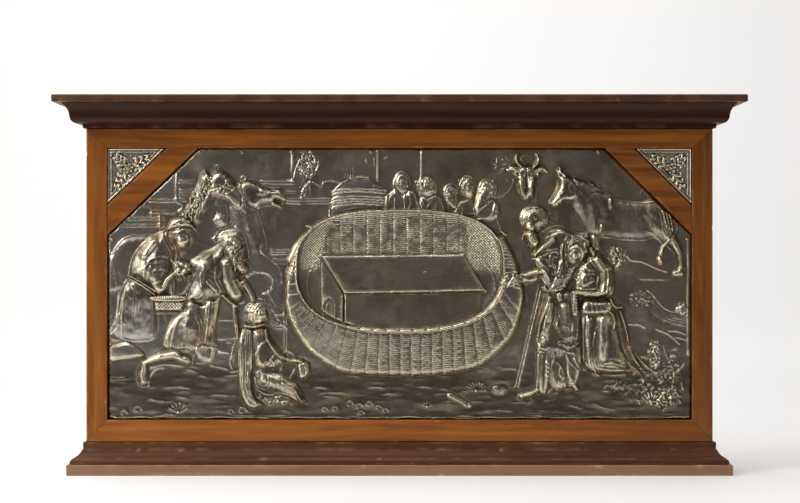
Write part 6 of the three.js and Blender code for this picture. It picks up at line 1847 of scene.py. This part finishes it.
def relief_sheet(material):
    r = Relief(-257, 257, 46, 287, 0.4)
    figures(r)
    gx, gz = r.everywhere()
    r.h += 0.6 * value_noise(gx, gz, 30, 5) + 0.3 * value_noise(gx, gz, 10, 6, 1.6)
    r.h += 0.11 * value_noise(gx, gz, 3.4, 7, 1.8) + 0.045 * value_noise(gx, gz, 1.3, 10, 3)
    rng = np.random.default_rng(16)
    for _ in range(150):
        x, z, half = rng.uniform(-250, 250), rng.uniform(100, 282), rng.uniform(2, 12)
        rise = rng.uniform(-0.35, 0.35) * half
        r.line([(x - half, z - rise), (x, z + rng.uniform(-0.6, 0.6)), (x + half, z + rise)], 0.45,
               rng.uniform(0.06, 0.22), taper=True)
    edge = np.clip(np.minimum.reduce([gx + 255, 255 - gx, gz - 47.7, top_limit(gx) - gz]) / 3, 0, 1)
    r.h *= 0.3 + 0.7 * edge
    r.line([(252.6, 205), (253, 180), (252.4, 150), (252.8, 105)], 0.9, 1.3)
    lip = [(x, 49.2 + 0.5 * math.sin(x / 5.3) + 0.4 * math.sin(x / 13 + 1))
           for x in np.arange(-250, 251, 4)]
    r.line(lip, 0.6, 0.9, smooth=False)
    r.line([(-253, 230), (-253.4, 190), (-253, 150)], 0.7, 0.5)
    ragged = 0.5 * value_noise(gx[0], gx[0] * 0, 9, 8) + 0.35 * value_noise(gx[0], gx[0] * 0, 2.6, 9)

    def low(x):
        return OPEN_BOTTOM + 1.3 + np.clip(np.interp(x, r.x, ragged), -0.8, 0.8)
    columns, rows, kept_share = ((1060, 490, 0.186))
    x_stops = np.linspace(OPEN_LEFT + 1, OPEN_RIGHT - 1, columns)
    obj = columns_mesh("embossed_sheet", r, x_stops, low, top_limit, rows, material, kept_share)
    for f in obj.data.polygons:
        f.use_smooth = True
    dress_sheet(obj, r)
    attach(obj, BODY)
    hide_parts("relief_sheet")


def spandrel(name, side, material):
    """A corner plate with a flat border, beads along the slant, a rosette and curled leaves."""
    low, high = node_box(name)
    corner = np.array([low[0] if side < 0 else high[0], high[2]])
    rail, stile = high[0] - low[0], high[2] - low[2]

    def at(a, b):
        return corner[0] - side * a, corner[1] - b
    r = Relief(low[0] - 1, high[0] + 1, low[2] - 1, high[2] + 1, 0.3)
    gx, gz = r.everywhere()
    a, b = (corner[0] - gx) * side, corner[1] - gz
    slope = math.hypot(rail, stile)
    slant = (1 - a / rail - b / stile) * rail * stile / slope
    edge = np.minimum.reduce([a, b, slant])
    border = np.clip((4.0 - edge) / 0.5, 0, 1)
    r.h += 1.2 * border
    r.h += 0.7 * np.exp(-((edge - 0.6) / 0.45) ** 2) + 0.5 * np.exp(-((edge - 3.6) / 0.4) ** 2)
    r.h += 0.8 * np.exp(-((slant - 1.4) / 0.6) ** 2) - 0.7 * np.exp(-((slant - 2.6) / 0.5) ** 2)
    inside = np.clip((edge - 4.4) / 0.8, 0, 1)
    boss = at(rail * 0.36, stile * 0.36)
    for u, v in ((6.5, 6.5), (rail * 0.74, 7.5), (7.5, stile * 0.74)):
        tip = np.array(at(u, v))
        start = np.array(boss)
        way = tip - start
        length = np.linalg.norm(way)
        way /= length
        across = np.array([-way[1], way[0]])
        r.limb((*(start + way * 4), 2.4, 1.6), (*(start + way * length * 0.6), 2.2, 1.7),
               (*tip, 1.0, 1.0), groove=0.35)
        for i in range(3):
            root = start + way * (length * (0.3 + 0.24 * i))
            for lobe in (-1, 1):
                end = root + way * 3.4 + across * lobe * (4.9 - 1.1 * i)
                curl = end - way * 2.2 + across * lobe * 0.6
                r.limb((*root, 1.5, 1.5), (*((root + end) / 2 + way * 1.0), 1.9 - 0.2 * i, 1.8),
                       (*end, 1.6 - 0.25 * i, 1.6), (*curl, 1.0, 1.2), groove=0.45)
        r.line([start + way * 5, tip], 0.45, -0.7, smooth=False)
    r.oval(*boss, 4.6, 4.6, 1.9, groove=0.5)
    for k in range(6):
        turn = 2 * math.pi * (k + 0.25) / 6
        r.oval(boss[0] + 3.6 * math.cos(turn), boss[1] + 3.6 * math.sin(turn), 1.7, 1.7, 2.4, groove=0.4)
    r.oval(*boss, 1.5, 1.5, 2.7, groove=0.6)
    r.h += inside * (0.16 * value_noise(gx, gz, 0.9, 301 + side) + 0.1 * value_noise(gx, gz, 2.2, 303))
    r.h += 0.06 * value_noise(gx, gz, 5, 305)
    slack = 0.4
    grid = 150
    stops = np.linspace(slack, rail - 1.6, grid)

    def low_edge(x):
        along = (corner[0] - x) * side
        return corner[1] - stile * (1 - along / rail) + slack

    def high_edge(x):
        return np.maximum(np.full_like(x, corner[1] - slack), low_edge(x) + 0.1)
    x_stops = np.sort(corner[0] - side * stops)
    obj = columns_mesh(name + "_leaves", r, x_stops, low_edge, high_edge, grid, material)
    for f in obj.data.polygons:
        f.use_smooth = True
    dress_sheet(obj, r)
    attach(obj, BODY)
    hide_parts(name)


def nail_heads(material):
    """Small worn domes, each a little dented."""
    for k in range(1, 8):
        low, high = node_box(f"nail_{k}")
        middle, radius, tall = (low + high) / 2, (high[0] - low[0]) / 2, high[1] - low[1]
        rings, sides = 7, 20
        verts, faces = [], []
        for i in range(rings):
            a = math.pi / 2 * i / (rings - 1)
            for j in range(sides):
                b = 2 * math.pi * j / sides
                dent = 1 - 0.05 * math.sin(3 * b + k) * math.sin(a)
                verts.append((middle[0] + 0.98 * radius * math.cos(a) * math.cos(b) * dent,
                              high[1] - tall * math.sin(a) * 0.98,
                              middle[2] + 0.98 * radius * math.cos(a) * math.sin(b) * dent))
        for i in range(rings - 1):
            for j in range(sides):
                n = (j + 1) % sides
                faces.append((i * sides + j, i * sides + n, (i + 1) * sides + n, (i + 1) * sides + j))
        faces.append(tuple(range(sides)))
        obj = new_object(f"nail_head_{k}", verts, faces, material)
        bm = bmesh.new()
        bm.from_mesh(obj.data)
        bmesh.ops.remove_doubles(bm, verts=bm.verts, dist=1e-6)
        bmesh.ops.recalc_face_normals(bm, faces=bm.faces)
        bm.to_mesh(obj.data)
        bm.free()
        smooth_below(obj, 50)
        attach(obj, BODY)
        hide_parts(f"nail_{k}")


def nail_material():
    """Dull brass, pale where it is rubbed."""
    material, tree, shader = nodes_of("nail brass")
    spots = noise(tree, object_coordinates(tree), 420, 3)
    color = mix_colors(tree, ramp(tree, spots, (0.35, 0.65, 0, 1)), (0.20, 0.15, 0.08),
                       (0.62, 0.54, 0.36))
    tree.links.new(color, shader.inputs["Base Color"])
    tree.links.new(ramp(tree, spots, (0.3, 0.7, 0.55, 0.3)), shader.inputs["Roughness"])
    shader.inputs["Metallic"].default_value = 1.0
    return material


# ---------------------------------------------------------------- scene

def camera():
    """A camera level with the sheet and square to it, which sees 0.7 m of the plaque's plane."""
    data = bpy.data.cameras.new("camera")
    obj = bpy.data.objects.new("camera", data)
    bpy.context.collection.objects.link(obj)
    distance, seen_width, height = 1.9, 0.7, 0.1948
    data.sensor_width = 36
    data.lens = data.sensor_width * distance / seen_width
    obj.location = (0.0004, FRONT * MM - distance, height)
    obj.rotation_euler = (math.pi / 2, 0, 0)
    bpy.context.scene.camera = obj


def area_light(name, place, target, size, power, color=(1, 1, 1)):
    """A rectangular light that faces a target."""
    data = bpy.data.lights.new(name, "AREA")
    data.shape = "RECTANGLE"
    data.size, data.size_y = size
    data.energy = power
    data.color = color
    obj = bpy.data.objects.new(name, data)
    obj.location = place
    way = Vector(target) - Vector(place)
    obj.rotation_euler = way.to_track_quat("-Z", "Y").to_euler()
    bpy.context.collection.objects.link(obj)


def studio():
    """A pale floor that curves up into a backdrop, soft lights at the sides and a dim room; the floor is
    painted dark towards the camera and glows faintly further back.
    """
    verts, faces = [], []
    front, back, half_width, tall, radius = -1.6, 2.9, 2.6, 2.6, 0.5
    curve = [(back + radius * math.sin(a), radius - radius * math.cos(a))
             for a in np.linspace(0.2, math.pi / 2, 8)]
    bend = [(front, 0), (back, 0), *curve, (back + radius, tall)]
    for y, z in bend:
        verts += [(-half_width, y, z), (half_width, y, z)]
    for i in range(len(bend) - 1):
        faces.append((2 * i, 2 * i + 1, 2 * i + 3, 2 * i + 2))
    mesh = bpy.data.meshes.new("floor")
    mesh.from_pydata(verts, [], faces)
    floor = bpy.data.objects.new("floor", mesh)
    bpy.context.collection.objects.link(floor)
    for f in mesh.polygons:
        f.use_smooth = True
    material, tree, shader = nodes_of("pale floor")
    parts = add_node(tree, "ShaderNodeSeparateXYZ")
    tree.links.new(object_coordinates(tree), parts.inputs[0])
    # Painted shade: the floor turns nearly black towards the camera.
    tone = mix_colors(tree, ramp(tree, parts.outputs["Y"], (-0.55, -0.28, 0, 1)), (0.06, 0.06, 0.06),
                      (0.93, 0.92, 0.915))
    tree.links.new(tone, shader.inputs["Base Color"])
    # Painted light: the floor under and behind the plaque glows faintly.
    glow = mix_colors(tree, ramp(tree, parts.outputs["Y"], (-0.45, -0.25, 0, 1)), (0, 0, 0), (1, 1, 1))
    tree.links.new(glow, shader.inputs["Emission Color"])
    shader.inputs["Emission Strength"].default_value = 0.19
    shader.inputs["Roughness"].default_value = 0.7
    mesh.materials.append(material)
    area_light("key", (-1.45, -0.95, 1.1), (0, 0, 0.15), (1.3, 1.4), 25)
    area_light("fill", (2.2, -1.3, 1.2), (0, 0, 0.15), (1.5, 1.6), 1.2, (1, 0.95, 0.90))
    area_light("top", (-0.45, -0.1, 2.2), (-0.1, 0.1, 0.1), (2.2, 1.2), 25)
    area_light("backdrop light", (-0.6, 2.1, 2.1), (-0.5, 3.1, 0.5), (2.6, 0.9), 22)
    world = bpy.data.worlds.new("room")
    world.use_nodes = True
    back = world.node_tree.nodes["Background"]
    back.inputs["Color"].default_value = (0.64, 0.61, 0.57, 1)
    back.inputs["Strength"].default_value = 0.26
    bpy.context.scene.world = world
    bpy.context.scene.view_settings.view_transform = "Standard"


WARM = dict(light=(0.44, 0.145, 0.018), dark=(0.20, 0.055, 0.006), raw=(0.42, 0.20, 0.07))
# The warm wood painted darker: painted shade for the right-hand stile and brace, which get less light.
WARM_SHADED = dict(light=(0.34, 0.118, 0.020), dark=(0.155, 0.045, 0.007), raw=(0.42, 0.20, 0.07))
DEEP = dict(light=(0.064, 0.021, 0.008), dark=(0.040, 0.013, 0.0055), raw=(0.20, 0.09, 0.04),
            gloss=0.36, sheen=0.22)
WORN = dict(light=(0.125, 0.046, 0.017), dark=(0.075, 0.026, 0.010), raw=(0.28, 0.15, 0.08),
            gloss=0.4, sheen=0.2)
TOP_WOOD = dict(light=(0.15, 0.062, 0.026), dark=(0.075, 0.030, 0.013), raw=(0.34, 0.17, 0.08))
BASE_WOOD = dict(light=(0.37, 0.20, 0.115), dark=(0.25, 0.125, 0.07), raw=(0.48, 0.32, 0.20), gloss=0.42)


def wooden_pieces():
    """The frame, the braces, both mouldings and the boards."""
    frame_bars(wood_material("frame wood left", grain_axis="Z", **WARM),
               wood_material("frame wood right", grain_axis="Z", **WARM_SHADED),
               wood_material("frame wood level", grain_axis="X", **WARM))
    for name, side, tones, degrees, seed in (("left", -1, WARM, 44, 221), ("right", 1, WARM_SHADED, -45, 222)):
        wood = wood_material("brace wood " + name, grain_axis="X", angle=math.radians(degrees), **tones)
        brace("brace_" + name, side, wood, seed)
    mouldings("cornice", cornice_profile, wood_material("cornice wood", grain_axis="X", **DEEP),
              wood_material("cornice wood side", grain_axis="Y", **DEEP), 230, 0.0)
    mouldings("base_moulding", base_profile, wood_material("base wood", grain_axis="X", **WORN),
              wood_material("base wood side", grain_axis="Y", **WORN), 240, 0.1)
    flat_board("top_board", TOP_LOW, TOP_HIGH,
               wood_material("top board wood", grain_axis="X", **TOP_WOOD), 251, 0.3, 14)
    flat_board("base_board", BASE_LOW, BASE_HIGH,
               wood_material("base board wood", grain_axis="X", **BASE_WOOD), 252, 0.35, 14)
    flat_board("core_board", CORE_LOW, CORE_HIGH, wood_material("board wood", grain_axis="Z", **WARM),
               253, 0.2, 4)


def metal_pieces():
    """The embossed sheet, the corner plates and the nails."""
    relief_sheet(metal_material("tarnished metal"))
    spandrel("spandrel_plate_left", -1, metal_material("corner metal left", 0.85))
    spandrel("spandrel_plate_right", 1, metal_material("corner metal right", 1.0))
    nail_heads(nail_material())


camera()
studio()
wooden_pieces()
metal_pieces()
